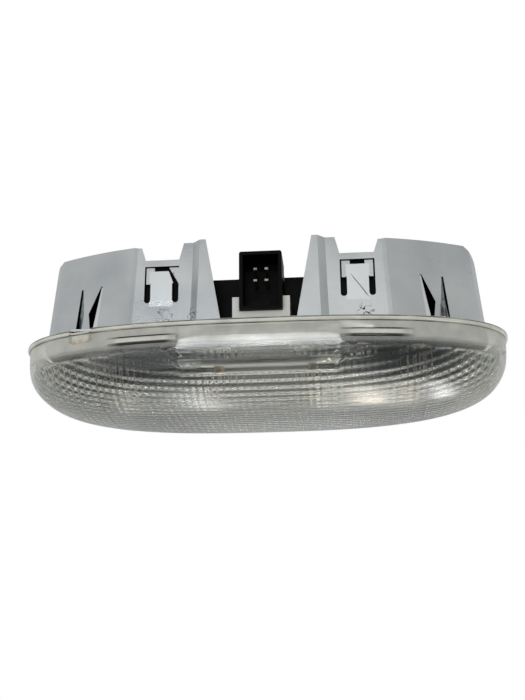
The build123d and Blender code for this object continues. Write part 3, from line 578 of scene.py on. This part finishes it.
WORN_FULL = -22 * MM
WORN_ROUGH = 0.22

# Dark lines along the rim's top and bottom edges
rim_dark_lines = combine(
    tree, "MULTIPLY",
    combine(tree, "MAXIMUM", *[line_mask(tree, axes["Z"], z, RIM_DARK_LINE_WIDTH) for z in RIM_DARK_LINE_LEVELS]),
    ramp(tree, noise(tree, place, 90.0, 3.0), 0.35, 0.55, 0.45, 0.95))
# Painted shade: dark lines along the top and bottom edges of the snap bars
bar_painted_shade = combine(
    tree, "MULTIPLY",
    combine(tree, "MAXIMUM", *[line_mask(tree, axes["Z"], z, BAR_PAINTED_SHADE_WIDTH) for z in BAR_PAINTED_SHADE_LEVELS]), on_bar)
# Painted shade: a dark band in the ledge at the foot of the clear panel
ledge_painted_shade = combine(
    tree, "MULTIPLY",
    line_mask(tree, axes["Z"], LEDGE_LEVEL, LEDGE_WIDTH),
    line_mask(tree, axes["X"], 0.0, LEDGE_LENGTH),
    ramp(tree, axes["Y"], *NEAR_SIDE, LEDGE_PAINTED_SHADE, 0))
dark_lines_and_painted_shade = combine(tree, "MAXIMUM", rim_dark_lines, bar_painted_shade, ledge_painted_shade)
lens_colour = blend_colour(tree, dark_lines_and_painted_shade, lens_colour, LENS_DARK_TONE)
# Painted reflection: a grey tint in the wall beside each bulb stands for the dark things the lens
# reflects there
painted_dark_reflection = combine(
    tree, "MULTIPLY",
    combine(tree, "MAXIMUM", *[
        ramp(tree, away_from(tree, axes["X"], x), DARK_REFLECTION_CORE, DARK_REFLECTION_EDGE, 1, 0) for x in DARK_REFLECTION_PLACES]),
    ramp(tree, axes["Z"], DARK_REFLECTION_TOP - DARK_REFLECTION_TOP_EDGE, DARK_REFLECTION_TOP, 1, 0),
    ramp(tree, axes["Z"], DARK_REFLECTION_FOOT, DARK_REFLECTION_FULL, 0, 1))
lens_colour = blend_colour(tree, painted_dark_reflection, lens_colour, DARK_REFLECTION_TINT)
tree.links.new(lens_colour, shader.inputs["Base Color"])
pillow_rise = add_node(tree, "ShaderNodeAttribute", attribute_name="rise").outputs["Fac"]
worn_bottom = combine(
    tree, "MULTIPLY",
    ramp(tree, axes["Z"], WORN_FULL, WORN_START, WORN_ROUGH, 0), ramp(tree, pillow_rise, 0, 0.5, 1, 0))
lens_rough = ramp(tree, noise(tree, place, 70.0, 4.0), 0.4, 0.8, 0.03, 0.12)
tree.links.new(combine(tree, "MAXIMUM", lens_rough, worn_bottom), shader.inputs["Roughness"])
print("lens plastic has", len(tree.nodes), "nodes")

# %% [markdown]
# ## Lens
# The lens is a deep oval bowl whose inside is moulded into small pillows that scatter the light. CAD
# holds its form with plain flutes. Here it is drawn again, fine enough for every pillow.
# Each crosswise section is one closed loop: down the outside, up the inside and over the rim. Loops from
# end to end give a closed skin, and numbers stored on each point tell the pillows where to rise.

# %% Lens sizes
RIM_OVERHANG = 0.8 * MM
LENS_DEPTH = 28.2 * MM
LENS_WALL = 2.2 * MM
OUTLINE_POWER = 2.7
END_POWER = 3.7
SIDE_POWER = 3.6

rim_low, rim_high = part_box("lens")
RIM_HALF_X = (rim_high.x - rim_low.x) / 2
RIM_HALF_Y = (rim_high.y - rim_low.y) / 2
wall_x = RIM_HALF_X - RIM_OVERHANG
wall_y = RIM_HALF_Y - RIM_OVERHANG
inner_half = wall_x - LENS_WALL
print("bowl:", round(2 * wall_x / MM, 1), "by", round(2 * wall_y / MM, 1), "mm")

# %% [markdown]
# The oval is a superellipse: an ellipse with a higher power, which makes its corners fuller. The same
# kind of curve makes the bowl shrink with depth. Points along a section are spaced by length, because
# even steps keep the faces alike in size.

# %% Lens curves
CURVE_POINTS = 241


def half_width(x, half_x, half_y):
    """Half width of the lens's oval at the distance x from its middle."""
    share = np.clip(np.abs(x) / half_x, 0, 1)
    return half_y * (1 - share**OUTLINE_POWER) ** (1 / OUTLINE_POWER)


def shrink(share, power):
    """How much of its half size the bowl keeps at a share of its depth."""
    return np.clip(1 - np.clip(share, 0, 1) ** power, 0, 1) ** (1 / power)


def section(spread, inset, top, counts):
    """Crosswise curves of the bowl, from the near edge to the far one, for stations spread over -1..1."""
    half_x, half_y, depth = wall_x - inset, wall_y - inset, LENS_DEPTH - inset
    start = -top / depth
    x = spread * half_x * shrink(start, END_POWER)
    lowest = np.maximum(shrink(np.abs(x) / half_x, END_POWER), start)
    fine = np.sin(np.linspace(0, math.pi / 2, CURVE_POINTS))
    level = start + (lowest - start)[:, None] * fine[None, :]
    reach = half_x * shrink(level, END_POWER)
    y = half_width(x[:, None], np.maximum(reach, 1e-9), half_y * shrink(level, SIDE_POWER))
    y[:, -1] = 0
    z = -depth * level
    run = np.hypot(np.diff(y), np.diff(z)).cumsum(1)
    run = np.concatenate([np.zeros((len(x), 1)), run], 1)
    sides = []
    for count, sign in zip(counts, (-1, 1)):
        points = np.empty((len(x), count, 3))
        for i in range(len(x)):
            at = np.linspace(0, run[i, -1], count)
            points[i, :, 0] = x[i]
            points[i, :, 1] = sign * np.interp(at, run[i], y[i])
            points[i, :, 2] = np.interp(at, run[i], z[i])
        sides.append(points)
    return np.concatenate([sides[0], sides[1][:, -2::-1]], 1)


print("the bowl keeps", round(float(shrink(0.5, SIDE_POWER)), 3), "of its width at half depth")

# %% [markdown]
# Sections stand close together along the middle, four to a pillow. Towards the round ends they follow
# the swing of the oval, and the last ones close in on the tip. Each wall of a rim slit has one section
# just before it and one just after it, so that the wall comes out upright.

# %% Stations along the lens
PILLOW_LENGTH = 2.4 * MM
STEPS_PER_PILLOW = 4
PLAIN_END = 6 * MM
END_STEPS = 24
TIP_GAPS = np.array([6e-5, 1e-5, 1e-6, 1e-7, 0])
NOTCH_X = 63.3 * MM
NOTCH_WIDTH = 8.4 * MM
SLIT_WIDTH = 0.5 * MM
SLIT_EDGE = 0.02 * MM

fine_end = math.floor((inner_half - PLAIN_END) / PILLOW_LENGTH) * PILLOW_LENGTH
fine_count = round(2 * fine_end / PILLOW_LENGTH) * STEPS_PER_PILLOW + 1
fine_part = np.linspace(-fine_end, fine_end, fine_count) / inner_half
swing_start = math.acos((fine_end / inner_half) ** (OUTLINE_POWER / 2))
swing = np.linspace(swing_start, 0, END_STEPS)[1:-1]
end_part = np.concatenate([np.cos(swing) ** (2 / OUTLINE_POWER), 1 - TIP_GAPS])
slit_near = NOTCH_X - NOTCH_WIDTH / 2
slit_far = NOTCH_X + NOTCH_WIDTH / 2
slit_walls = np.array([slit_near, slit_near + SLIT_WIDTH, slit_far - SLIT_WIDTH, slit_far])
slit_part = np.concatenate([slit_walls - SLIT_EDGE, slit_walls + SLIT_EDGE]) / wall_x
spread = np.sort(np.concatenate([-end_part, -slit_part, fine_part, slit_part, end_part]))
print("sections along the lens:", len(spread))

# %% [markdown]
# The rim stands out past the wall, and its edge is rounded in a few steps above and below. A loop is put
# together from the rim's near edge, the outside of the bowl, the rim's far edge and the inside. The near
# half gets more points than the far one, because the camera sees it.

# %% Loops round the lens
RIM_THICKNESS = 1.7 * MM
RIM_ROUND = 0.55 * MM
RIM_ROUND_STEPS = 4
OUTSIDE_POINTS = (44, 18)
INSIDE_POINTS = (96, 84)

outside = section(spread, 0.0, -RIM_THICKNESS, OUTSIDE_POINTS)
inside = section(spread, LENS_WALL, 0.0, INSIDE_POINTS)[:, ::-1]


def rim_line(sign, inset, z):
    """One line of the rim's outer edge along the whole lens."""
    x = (RIM_HALF_X - inset) * spread
    y = half_width(x, RIM_HALF_X - inset, RIM_HALF_Y - inset)
    return np.stack([x, sign * y, np.full_like(x, z)], -1)[:, None]


turns = np.linspace(0, math.pi / 2, RIM_ROUND_STEPS)
rim_profile = [(RIM_ROUND * (1 - math.sin(a)), -RIM_ROUND * (1 - math.cos(a))) for a in turns]
rim_profile += [(inset, -RIM_THICKNESS - z) for inset, z in rim_profile[::-1]]
loops = np.concatenate(
    [rim_line(-1, inset, z) for inset, z in rim_profile] + [outside]
    + [rim_line(1, inset, z) for inset, z in rim_profile[::-1]] + [inside], 1)
stations, around = loops.shape[:2]
inner = slice(around - inside.shape[1], around)
is_inside = np.zeros((stations, around), bool)
is_inside[:, inner] = True
X, Y, Z = (loops[..., axis].copy() for axis in range(3))
print("lens skin:", stations, "sections of", around, "points")

# %% [markdown]
# On the plug side the wall steps in to a clear flat panel, inside and outside. A sharp groove runs inside
# its foot and shows as a dark band. Both could be cut with booleans, but moving the points of the loops
# keeps the skin closed: each point within the panel's outline goes in to the flat face.

# %% Clear panel
PANEL_DEPTH = 1.6 * MM
PANEL_EDGE = 0.5 * MM
PANEL_LEVELS = np.array([-16.1, -9.3, -4.0]) * MM
PANEL_HALVES = np.array([25.4, 31.4, 27.7]) * MM
PANEL_CEILING = -0.5 * MM
BEAD_FOOT = -13.6 * MM
GROOVE_FOOT = -16.1 * MM
GROOVE_DEPTH = 1.0 * MM

panel_half = np.interp(Z, PANEL_LEVELS, PANEL_HALVES)
side_gap = panel_half - np.abs(X)
end_gap = np.minimum(Z - PANEL_LEVELS[0], PANEL_LEVELS[-1] - Z)
wall_inset = np.where(is_inside, LENS_WALL, 0)
in_panel = np.clip((np.minimum(side_gap, end_gap) + wall_inset) / PANEL_EDGE + 0.5, 0, 1)
flat_y = -(wall_y - PANEL_DEPTH) + wall_inset
pressed = np.where((Y < flat_y) & (Z < PANEL_CEILING), flat_y, Y)
Y = Y + (pressed - Y) * in_panel
groove_middle = (BEAD_FOOT + GROOVE_FOOT) / 2
groove_half = (BEAD_FOOT - GROOVE_FOOT) / 2
groove = np.clip(1 - np.abs(Z - groove_middle) / groove_half, 0, 1) * (is_inside & (Y < 0))
Y = Y - GROOVE_DEPTH * groove * in_panel
print("points in the panel:", int(((in_panel > 0.5) & (Y < 0)).sum()))

# %% [markdown]
# Two notches in the rim let the long hook toes in. They lie on opposite corners, each between two slits.

# %% Rim notches
NOTCH_DEPTH = 1.2 * MM
SLIT_DEPTH = 4.6 * MM

for side in (-1, 1):
    from_notch = np.abs(side * spread * wall_x - NOTCH_X)[:, None]
    in_notch = (from_notch < NOTCH_WIDTH / 2) & (Y * side > 0) & (X * side > 0)
    in_slit = in_notch & (from_notch > NOTCH_WIDTH / 2 - SLIT_WIDTH)
    Z = np.where(in_notch, np.minimum(Z, -NOTCH_DEPTH), Z)
    Z = np.where(in_slit, np.minimum(Z, -SLIT_DEPTH), Z)
    print("sections in the notch:", int(in_notch.any(1).sum()))

# %% [markdown]
# The pillows need two places for each inside point: how far along the lens it lies, and how far round
# the bowl from the lowest line. A third number says how strongly they rise there: not at all on the plain
# band under the rim, at the tips, on the clear panel and on the wall across from it, but fully below
# these and on the bead row low in the panel.

# %% Where the pillows rise
PLAIN_BAND = 10.2 * MM
PLAIN_BAND_EDGE = 0.8 * MM
RIB_MARGIN = 4.0 * MM
RIB_MARGIN_EDGE = 2 * MM
BEAD_TOP = -10.5 * MM

inner_y, inner_z = Y[:, inner], Z[:, inner]
step = np.hypot(np.diff(inner_y), np.diff(inner_z))
run = np.concatenate([np.zeros((stations, 1)), step.cumsum(1)], 1)
bottom = inner_z.argmin(1)
run = np.abs(run - run[np.arange(stations), bottom][:, None])
rise = np.clip((-inner_z - PLAIN_BAND) / PLAIN_BAND_EDGE, 0, 1)
rise *= np.clip((inner_half - RIB_MARGIN - np.abs(X[:, inner])) / RIB_MARGIN_EDGE, 0, 1)
beaded = (inner_z > BEAD_FOOT) & (inner_z < BEAD_TOP) & (inner_y < 0)
panel_share = in_panel[:, inner]
rise = np.where(beaded, np.maximum(rise, panel_share), rise * (1 - panel_share))
around_values, rise_values = np.zeros((2, stations, around))
around_values[:, inner] = run
rise_values[:, inner] = rise
print("points where the pillows rise:", int((rise > 0.5).sum()))

# %% [markdown]
# Quads join each loop to the next one, and the three numbers are stored on the points.

# %% Lens mesh
first = np.arange(stations - 1)[:, None] * around
here = np.arange(around)[None, :]
after = (here + 1) % around
quads = np.stack(
    [first + here, first + after, first + around + after, first + around + here], -1).reshape(-1, 4)
lens_mesh = bpy.data.meshes.new("lens_skin")
lens_mesh.from_pydata(np.stack([X, Y, Z], -1).reshape(-1, 3).tolist(), [], quads.tolist())
for name, values in (("along", X), ("around", around_values), ("rise", rise_values)):
    store = lens_mesh.attributes.new(name, "FLOAT", "POINT")
    store.data.foreach_set("value", np.asarray(values, np.float32).ravel())
lens_skin = add_object("lens_shell", lens_mesh)
print("lens skin:", len(quads), "quads")

# %% [markdown]
# The sections meet at a point at both ends, so doubled points there are merged and the skin closes.

# %% Close the ends of the skin
import bmesh

WELD_DISTANCE = 0.002 * MM

work = bmesh.new()
work.from_mesh(lens_mesh)
bmesh.ops.remove_doubles(work, verts=work.verts, dist=WELD_DISTANCE)
open_edges = sum(1 for edge in work.edges if not edge.is_manifold)
work.to_mesh(lens_mesh)
work.free()
print("lens edges that aren't closed:", open_edges)

# %% [markdown]
# ## Pillows inside the lens
# The pillows repeat some two thousand times, so Geometry Nodes raise them: each point moves along its
# normal by a height that swings with its place along and around the bowl. Two waves are added, so that
# grooves cross in a grid and a pillow stands in every cell. Multiplied, they would fade into each other
# at the crossings. A bump in the material would be cheaper, but it leaves the mesh itself smooth.

# %% Geometry Nodes helpers


def start_tree(name, numbers, places=()):
    """New Geometry Nodes tree with named inputs; returns the tree, its inputs and their socket ids."""
    tree = bpy.data.node_groups.new(name, "GeometryNodeTree")
    kinds = {"Geometry": "NodeSocketGeometry"}
    kinds.update((label, "NodeSocketVector") for label in places)
    kinds.update((label, "NodeSocketFloat") for label in numbers)
    ids = {}
    for label, kind in kinds.items():
        ids[label] = tree.interface.new_socket(label, in_out="INPUT", socket_type=kind).identifier
    tree.interface.new_socket("Geometry", in_out="OUTPUT", socket_type="NodeSocketGeometry")
    return tree, tree.nodes.new("NodeGroupInput").outputs, ids


def end_tree(tree, geometry, material):
    """Realize instances, set the material and close the tree."""
    real = add_node(tree, "GeometryNodeRealizeInstances", {"Geometry": geometry})
    smooth = add_node(tree, "GeometryNodeSetShadeSmooth", {0: real.outputs[0]})
    dressed = add_node(
        tree, "GeometryNodeSetMaterial", {"Geometry": smooth.outputs[0], "Material": material})
    add_node(tree, "NodeGroupOutput", {"Geometry": dressed.outputs[0]})


def apply_tree(piece, tree, ids, values, sharp_angle):
    """Run a tree on a piece with the given input values, and keep the result as a plain mesh."""
    modifier = piece.modifiers.new("shape", "NODES")
    modifier.node_group = tree
    for label, value in values.items():
        modifier[ids[label]] = value
    piece.update_tag()
    bpy.context.view_layer.update()
    made = bpy.data.meshes.new_from_object(piece.evaluated_get(bpy.context.evaluated_depsgraph_get()))
    piece.modifiers.clear()
    piece.data = made
    made.set_sharp_from_angle(angle=math.radians(sharp_angle))
    print(piece.name, "has", len(made.polygons), "faces")


print("Geometry Nodes helpers ready")

# %% [markdown]
# The tree takes the pillows' length, width and height as inputs, so that they can be changed without
# drawing the lens again.

# %% Pillow tree
PILLOW_WIDTH = 2.9 * MM
PILLOW_HEIGHT = 0.42 * MM
PILLOW_SHARP = 60

tree, given, pillow_ids = start_tree("lens_pillows", ["Pillow length", "Pillow width", "Pillow height"])


def stored(tree, name):
    """Number stored on each point under a name."""
    return add_node(tree, "GeometryNodeInputNamedAttribute", {"Name": name}, data_type="FLOAT").outputs[0]


def wave(tree, name, period):
    """Dome from 0 to 1 and back over one period of a stored place."""
    half_turns = combine(tree, "DIVIDE", stored(tree, name), period)
    swing = combine(tree, "SINE", combine(tree, "MULTIPLY", half_turns, math.pi), 0.0)
    return combine(tree, "ABSOLUTE", swing, 0.0)


dome = combine(
    tree, "ADD", wave(tree, "along", given["Pillow length"]),
    wave(tree, "around", given["Pillow width"]))
lift = combine(tree, "MULTIPLY", dome, stored(tree, "rise"), given["Pillow height"])
normal = add_node(tree, "GeometryNodeInputNormal").outputs[0]
offset = add_node(tree, "ShaderNodeVectorMath", {0: normal, "Scale": lift}, operation="SCALE").outputs[0]
moved = add_node(tree, "GeometryNodeSetPosition", {"Geometry": given["Geometry"], "Offset": offset})
end_tree(tree, moved.outputs[0], lens_plastic)

apply_tree(lens_skin, tree, pillow_ids, {
    "Pillow length": PILLOW_LENGTH, "Pillow width": PILLOW_WIDTH, "Pillow height": PILLOW_HEIGHT,
}, PILLOW_SHARP)
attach(lens_skin, "root")
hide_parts("lens")

# %% [markdown]
# ## Snap ridges
# Four bars on the outside of the lens snap into the roof trim. Each follows the wall, so a path along
# the wall is drawn first, and Geometry Nodes sweep a rounded rectangle along it.

# %% Ridge paths
RIDGE_START = 28.4 * MM
RIDGE_END = 53.0 * MM
RIDGE_DROP = 6.3 * MM
RIDGE_POINTS = 12

ridge_level = RIDGE_DROP / LENS_DEPTH
ridge_half_x = wall_x * shrink(ridge_level, END_POWER)
ridge_half_y = wall_y * shrink(ridge_level, SIDE_POWER)
path_points, path_edges = [], []
for side_x in (-1, 1):
    for side_y in (-1, 1):
        for i in range(RIDGE_POINTS):
            x = RIDGE_START + (RIDGE_END - RIDGE_START) * i / (RIDGE_POINTS - 1)
            y = half_width(x, ridge_half_x, ridge_half_y)
            if i:
                path_edges.append((len(path_points) - 1, len(path_points)))
            path_points.append((side_x * x, side_y * float(y), -RIDGE_DROP))
ridge_mesh = bpy.data.meshes.new("ridge_paths")
ridge_mesh.from_pydata(path_points, path_edges, [])
snap_ridges = add_object("snap_ridges", ridge_mesh)
print("ridge paths:", len(path_points), "points")

# %% [markdown]
# The rectangle could roll as it follows a path, so the curve's normals are set upright first.

# %% Ridge sweep
RIDGE_HEIGHT = 2.4 * MM
RIDGE_WIDTH = 2.2 * MM
RIDGE_ROUND = 1.0 * MM
RIDGE_ROUND_STEPS = 6
RIDGE_SHARP = 40

tree, given, ridge_ids = start_tree("ridge_sweep", ["Ridge width", "Ridge height", "Ridge round"])
path = add_node(tree, "GeometryNodeMeshToCurve", {"Mesh": given["Geometry"]})
upright = add_node(tree, "GeometryNodeSetCurveNormal", {"Curve": path.outputs[0]}, mode="Z_UP")
profile = add_node(tree, "GeometryNodeCurvePrimitiveQuadrilateral", {
    "Width": given["Ridge width"], "Height": given["Ridge height"]})
rounded = add_node(tree, "GeometryNodeFilletCurve", {
    "Curve": profile.outputs[0], "Radius": given["Ridge round"], "Count": RIDGE_ROUND_STEPS,
}, mode="POLY")
bar = add_node(tree, "GeometryNodeCurveToMesh", {
    "Curve": upright.outputs[0], "Profile Curve": rounded.outputs[0], "Fill Caps": True})
end_tree(tree, bar.outputs[0], lens_plastic)
apply_tree(snap_ridges, tree, ridge_ids, {
    "Ridge width": RIDGE_WIDTH, "Ridge height": RIDGE_HEIGHT, "Ridge round": RIDGE_ROUND}, RIDGE_SHARP)
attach(snap_ridges, "root")

# %% [markdown]
# ## Bulbs
# A festoon bulb is a glass tube held between two pointed caps. The caps come from CAD and reach a little
# into the tube. The glass is turned here from a profile with melted, half-round lips at both ends.

# %% Bulb glass
GLASS_WALL = 0.7 * MM
GLASS_SIDES = 40
GLASS_SHARP = 40
LIP_STEPS = 8


def glass_profile(low, high, radius):
    """Closed profile of the tube: round the lip at its low end, then round the one at its high end."""
    half_wall = GLASS_WALL / 2
    points = []
    for centre, start in ((low + half_wall, math.pi / 2), (high - half_wall, -math.pi / 2)):
        for i in range(LIP_STEPS + 1):
            angle = start + math.pi * i / LIP_STEPS
            points.append((
                centre + half_wall * math.cos(angle), radius - half_wall + half_wall * math.sin(angle)))
    return points


def new_piece(name, work, *finishes):
    """Turn a finished bmesh into an object, with its faces outwards and its finishes on."""
    bmesh.ops.recalc_face_normals(work, faces=work.faces)
    mesh = bpy.data.meshes.new(name)
    work.to_mesh(mesh)
    work.free()
    for finish in finishes:
        mesh.materials.append(finish)
    return add_object(name, mesh)


def spin_profile(profile, axis_z):
    """Spin a closed profile of (x, radius) points about a line along X."""
    work = bmesh.new()
    rings = []
    for i in range(GLASS_SIDES):
        angle = 2 * math.pi * i / GLASS_SIDES
        rings.append([
            work.verts.new((x, r * math.cos(angle), axis_z + r * math.sin(angle))) for x, r in profile])
    for i in range(GLASS_SIDES):
        ring, following = rings[i], rings[(i + 1) % GLASS_SIDES]
        for j in range(len(profile)):
            k = (j + 1) % len(profile)
            work.faces.new((ring[j], ring[k], following[k], following[j]))
    return work


for side in ("left", "right"):
    low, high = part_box("bulb_glass_" + side)
    axis_z = (low.z + high.z) / 2
    radius = (high.z - low.z) / 2
    tube = spin_profile(glass_profile(low.x, high.x, radius), axis_z)
    glass = new_piece("glass_tube_" + side, tube, bulb_glass)
    glass.data.shade_smooth()
    glass.data.set_sharp_from_angle(angle=math.radians(GLASS_SHARP))
    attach(glass, "root")
    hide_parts("bulb_glass_" + side)
    print(glass.name, "is", round((high.x - low.x) / MM, 1), "mm long")

# %% [markdown]
# ## Filaments
# The filament is a fine coil between two straight leads. A coil follows a rule, so Geometry Nodes make
# it: a spiral curve for the coil, two lines for the leads, and a thin round wire along all three.

# %% Filament coils
COIL_LENGTH = 15.0 * MM
COIL_RADIUS = 0.55 * MM
COIL_TURNS = 26.0
COIL_STEPS = 12
COIL_SHARP = 40
WIRE_RADIUS = 0.14 * MM
WIRE_SIDES = 6

tree, given, coil_ids = start_tree(
    "filament_coil", ["Coil length", "Coil radius", "Coil turns", "Wire radius"],
    ["Coil start", "Coil end", "Lead start", "Lead end"])
spiral = add_node(tree, "GeometryNodeCurveSpiral", {
    "Resolution": COIL_STEPS, "Rotations": given["Coil turns"],
    "Start Radius": given["Coil radius"], "End Radius": given["Coil radius"],
    "Height": given["Coil length"]})
laid = add_node(tree, "GeometryNodeTransform", {
    "Geometry": spiral.outputs[0], "Rotation": (0, math.pi / 2, 0),
    "Translation": given["Coil start"]})
curves = add_node(tree, "GeometryNodeJoinGeometry", {0: laid.outputs[0]})
for first_point, last_point in (("Lead start", "Coil start"), ("Coil end", "Lead end")):
    lead = add_node(tree, "GeometryNodeCurvePrimitiveLine", {
        "Start": given[first_point], "End": given[last_point]})
    tree.links.new(lead.outputs[0], curves.inputs[0])
wire_profile = add_node(tree, "GeometryNodeCurvePrimitiveCircle", {
    "Resolution": WIRE_SIDES, "Radius": given["Wire radius"]})
wire = add_node(tree, "GeometryNodeCurveToMesh", {
    "Curve": curves.outputs[0], "Profile Curve": wire_profile.outputs[0], "Fill Caps": True})
end_tree(tree, wire.outputs[0], tungsten)

for side in ("left", "right"):
    low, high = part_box("filament_" + side)
    middle_x = (low.x + high.x) / 2
    axis_z = (low.z + high.z) / 2
    name = "filament_coil_" + side
    filament = add_object(name, bpy.data.meshes.new(name))
    apply_tree(filament, tree, coil_ids, {
        "Lead start": (low.x, 0, axis_z), "Coil start": (middle_x - COIL_LENGTH / 2, 0, axis_z),
        "Coil end": (middle_x + COIL_LENGTH / 2, 0, axis_z), "Lead end": (high.x, 0, axis_z),
        "Coil length": COIL_LENGTH, "Coil radius": COIL_RADIUS, "Coil turns": COIL_TURNS,
        "Wire radius": WIRE_RADIUS}, COIL_SHARP)
    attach(filament, "root")
    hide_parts("filament_" + side)

# %% [markdown]
# ## Painted shade behind the hook openings
# The black cover has a wing on each side behind the spring tongues. A thin black strip carries each wing
# on along the wall, a dark sheet put in as painted shade, so that the hook openings look into the dark
# too. The strip is a path with a thickness, drawn up from the pan.

# %% Wing ends: painted shade strips
SHADE_STRIP_TURN = (54.6 * MM, -23.9 * MM)
SHADE_STRIP_TIP = (71.0 * MM, -17.6 * MM)
SHADE_STRIP_WALL = 1.2 * MM
SHADE_STRIP_TOP = 21.0 * MM


def closed_strip(work, rows, finish_index=0):
    """Join rows of four corners with faces, and cap the first and the last row."""
    faces = []
    for first_row, next_row in zip(rows, rows[1:]):
        for j in range(4):
            k = (j + 1) % 4
            faces.append((first_row[j], first_row[k], next_row[k], next_row[j]))
    for corners in faces + [rows[0], rows[-1]]:
        work.faces.new(corners).material_index = finish_index


cover_low, cover_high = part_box("terminal_cover")
shade_strip_root = (cover_high.x - SHADE_STRIP_WALL, cover_low.y + SHADE_STRIP_WALL / 2)
shade_strip_path = [Vector(point) for point in (shade_strip_root, SHADE_STRIP_TURN, SHADE_STRIP_TIP)]
for side, sign in (("left", -1), ("right", 1)):
    work = bmesh.new()
    rows = []
    for i, point in enumerate(shade_strip_path):
        along = shade_strip_path[min(i + 1, 2)] - shade_strip_path[max(i - 1, 0)]
        across = Vector((-along.y, along.x)).normalized() * SHADE_STRIP_WALL / 2
        corners = []
        for offset, z in ((-1, cover_low.z), (1, cover_low.z), (1, SHADE_STRIP_TOP), (-1, SHADE_STRIP_TOP)):
            at = point + across * offset
            corners.append(work.verts.new((sign * at.x, at.y, z)))
        rows.append(corners)
    closed_strip(work, rows)
    # Painted shade: a black strip behind each hook opening stands for the shade inside the shield
    painted_shade_strip = new_piece("painted_shade_strip_" + side, work, black_moulding)
    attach(painted_shade_strip, "root")
print("wing ends reach x =", round(SHADE_STRIP_TIP[0] / MM, 1), "mm")

# %% [markdown]
# ## Lips of the hook openings
# Beside each hook tongue the sheet is pressed inwards as well as cut, so lips show in the openings. The
# lips at the mouth carry a painted highlight and those at the tongue painted shade. A lip could be drawn
# point by point, but it follows the edge of its opening: a ray finds the wall at each height, and from
# there the lip leans inwards as a thin closed strip.

# %% Hook lips
HOOK_TOP_X = 61.5 * MM
HOOK_FOOT_X = 63.3 * MM
HOOK_TOP_Z = 17.3 * MM
HOOK_WAIST_Z = 7.5 * MM
HOOK_FOOT_Z = 0.6 * MM
MOUTH_HALF = 4.3 * MM
TONGUE_TOP_HALF = 3.6 * MM
TONGUE_WAIST_HALF = 0.95 * MM
TONGUE_FOOT_HALF = 2.1 * MM
LIP_SHEET = 0.4 * MM
LIP_ROOT = 0.25 * MM
LIP_SINK = 0.05 * MM
RAY_START = 60 * MM
# x of the edge, height, width and depth of the lip at each station
MOUTH_LIP = (
    (HOOK_TOP_X - MOUTH_HALF, HOOK_TOP_Z, 0.5 * MM, 0.4 * MM),
    (HOOK_FOOT_X - MOUTH_HALF, HOOK_FOOT_Z, 1.5 * MM, 0.6 * MM))
TONGUE_LIP = (
    (HOOK_TOP_X + TONGUE_TOP_HALF, HOOK_TOP_Z, 0.4 * MM, 0.6 * MM),
    (HOOK_FOOT_X + TONGUE_WAIST_HALF, HOOK_WAIST_Z, 1.8 * MM, 1.4 * MM),
    (HOOK_FOOT_X + TONGUE_FOOT_HALF, HOOK_FOOT_Z, 1.5 * MM, 2.8 * MM))


def wall_at(x, z, side_y):
    """Point of the shield's outer face that is seen from side_y at this x and height."""
    _, point, _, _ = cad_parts["reflector_shield"].ray_cast(
        Vector((x, side_y * RAY_START, z)), Vector((0, -side_y, 0)))
    return point


lips = bmesh.new()
for side_x in (-1, 1):
    for side_y in (-1, 1):
        back_step = Vector((0, -side_y * LIP_SHEET, 0))
        for finish_index, lip_stations in enumerate((MOUTH_LIP, TONGUE_LIP)):
            rows = []
            for x, z, width, depth in lip_stations:
                root = wall_at(side_x * (x - LIP_ROOT), z, side_y)
                root.y -= side_y * LIP_SINK
                tip = root + Vector((side_x * (width + LIP_ROOT), -side_y * depth, 0))
                rows.append([lips.verts.new(at) for at in (root, tip, tip + back_step, root + back_step)])
            closed_strip(lips, rows, finish_index)
# Mouth lips get the painted highlight finish, tongue lips the painted shade finish
hook_lips = new_piece("hook_lips", lips, lip_painted_highlight, lip_painted_shade)
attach(hook_lips, "root")
print("hook lips:", len(hook_lips.data.polygons), "faces")

# %% [markdown]
# ## Dressing the CAD pieces
# The other pieces already have their true shape, so they only change their finish.

# %% Finishes on the CAD pieces


def dress(finish, *names):
    """Give CAD pieces a finish in place of their plain one."""
    for name in names:
        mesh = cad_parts[name].data
        mesh.materials.clear()
        mesh.materials.append(finish)


dress(sheet_metal, "reflector_shield")
dress(ivory_moulding, "lamp_base")
dress(black_moulding, "connector_housing", "terminal_cover")
for side in ("left", "right"):
    dress(nickel_plate, "bulb_caps_" + side)
    for row in ("inner", "outer"):
        dress(tinned_brass_painted_shade, f"terminal_{side}_{row}")
        dress(spring_brass, f"contact_{side}_{row}")
dress(rivet_metal, "base_rivets", "contact_studs")
print("dressed:", len(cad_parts), "nodes")

# %% [markdown]
# ## Light bounces
# Light crosses many faces of clear plastic here, so it may bounce more often than usual.

# %% Light bounces
LIGHT_BOUNCES = 16

scene.cycles.max_bounces = LIGHT_BOUNCES
scene.cycles.transmission_bounces = LIGHT_BOUNCES
scene.cycles.transparent_max_bounces = LIGHT_BOUNCES
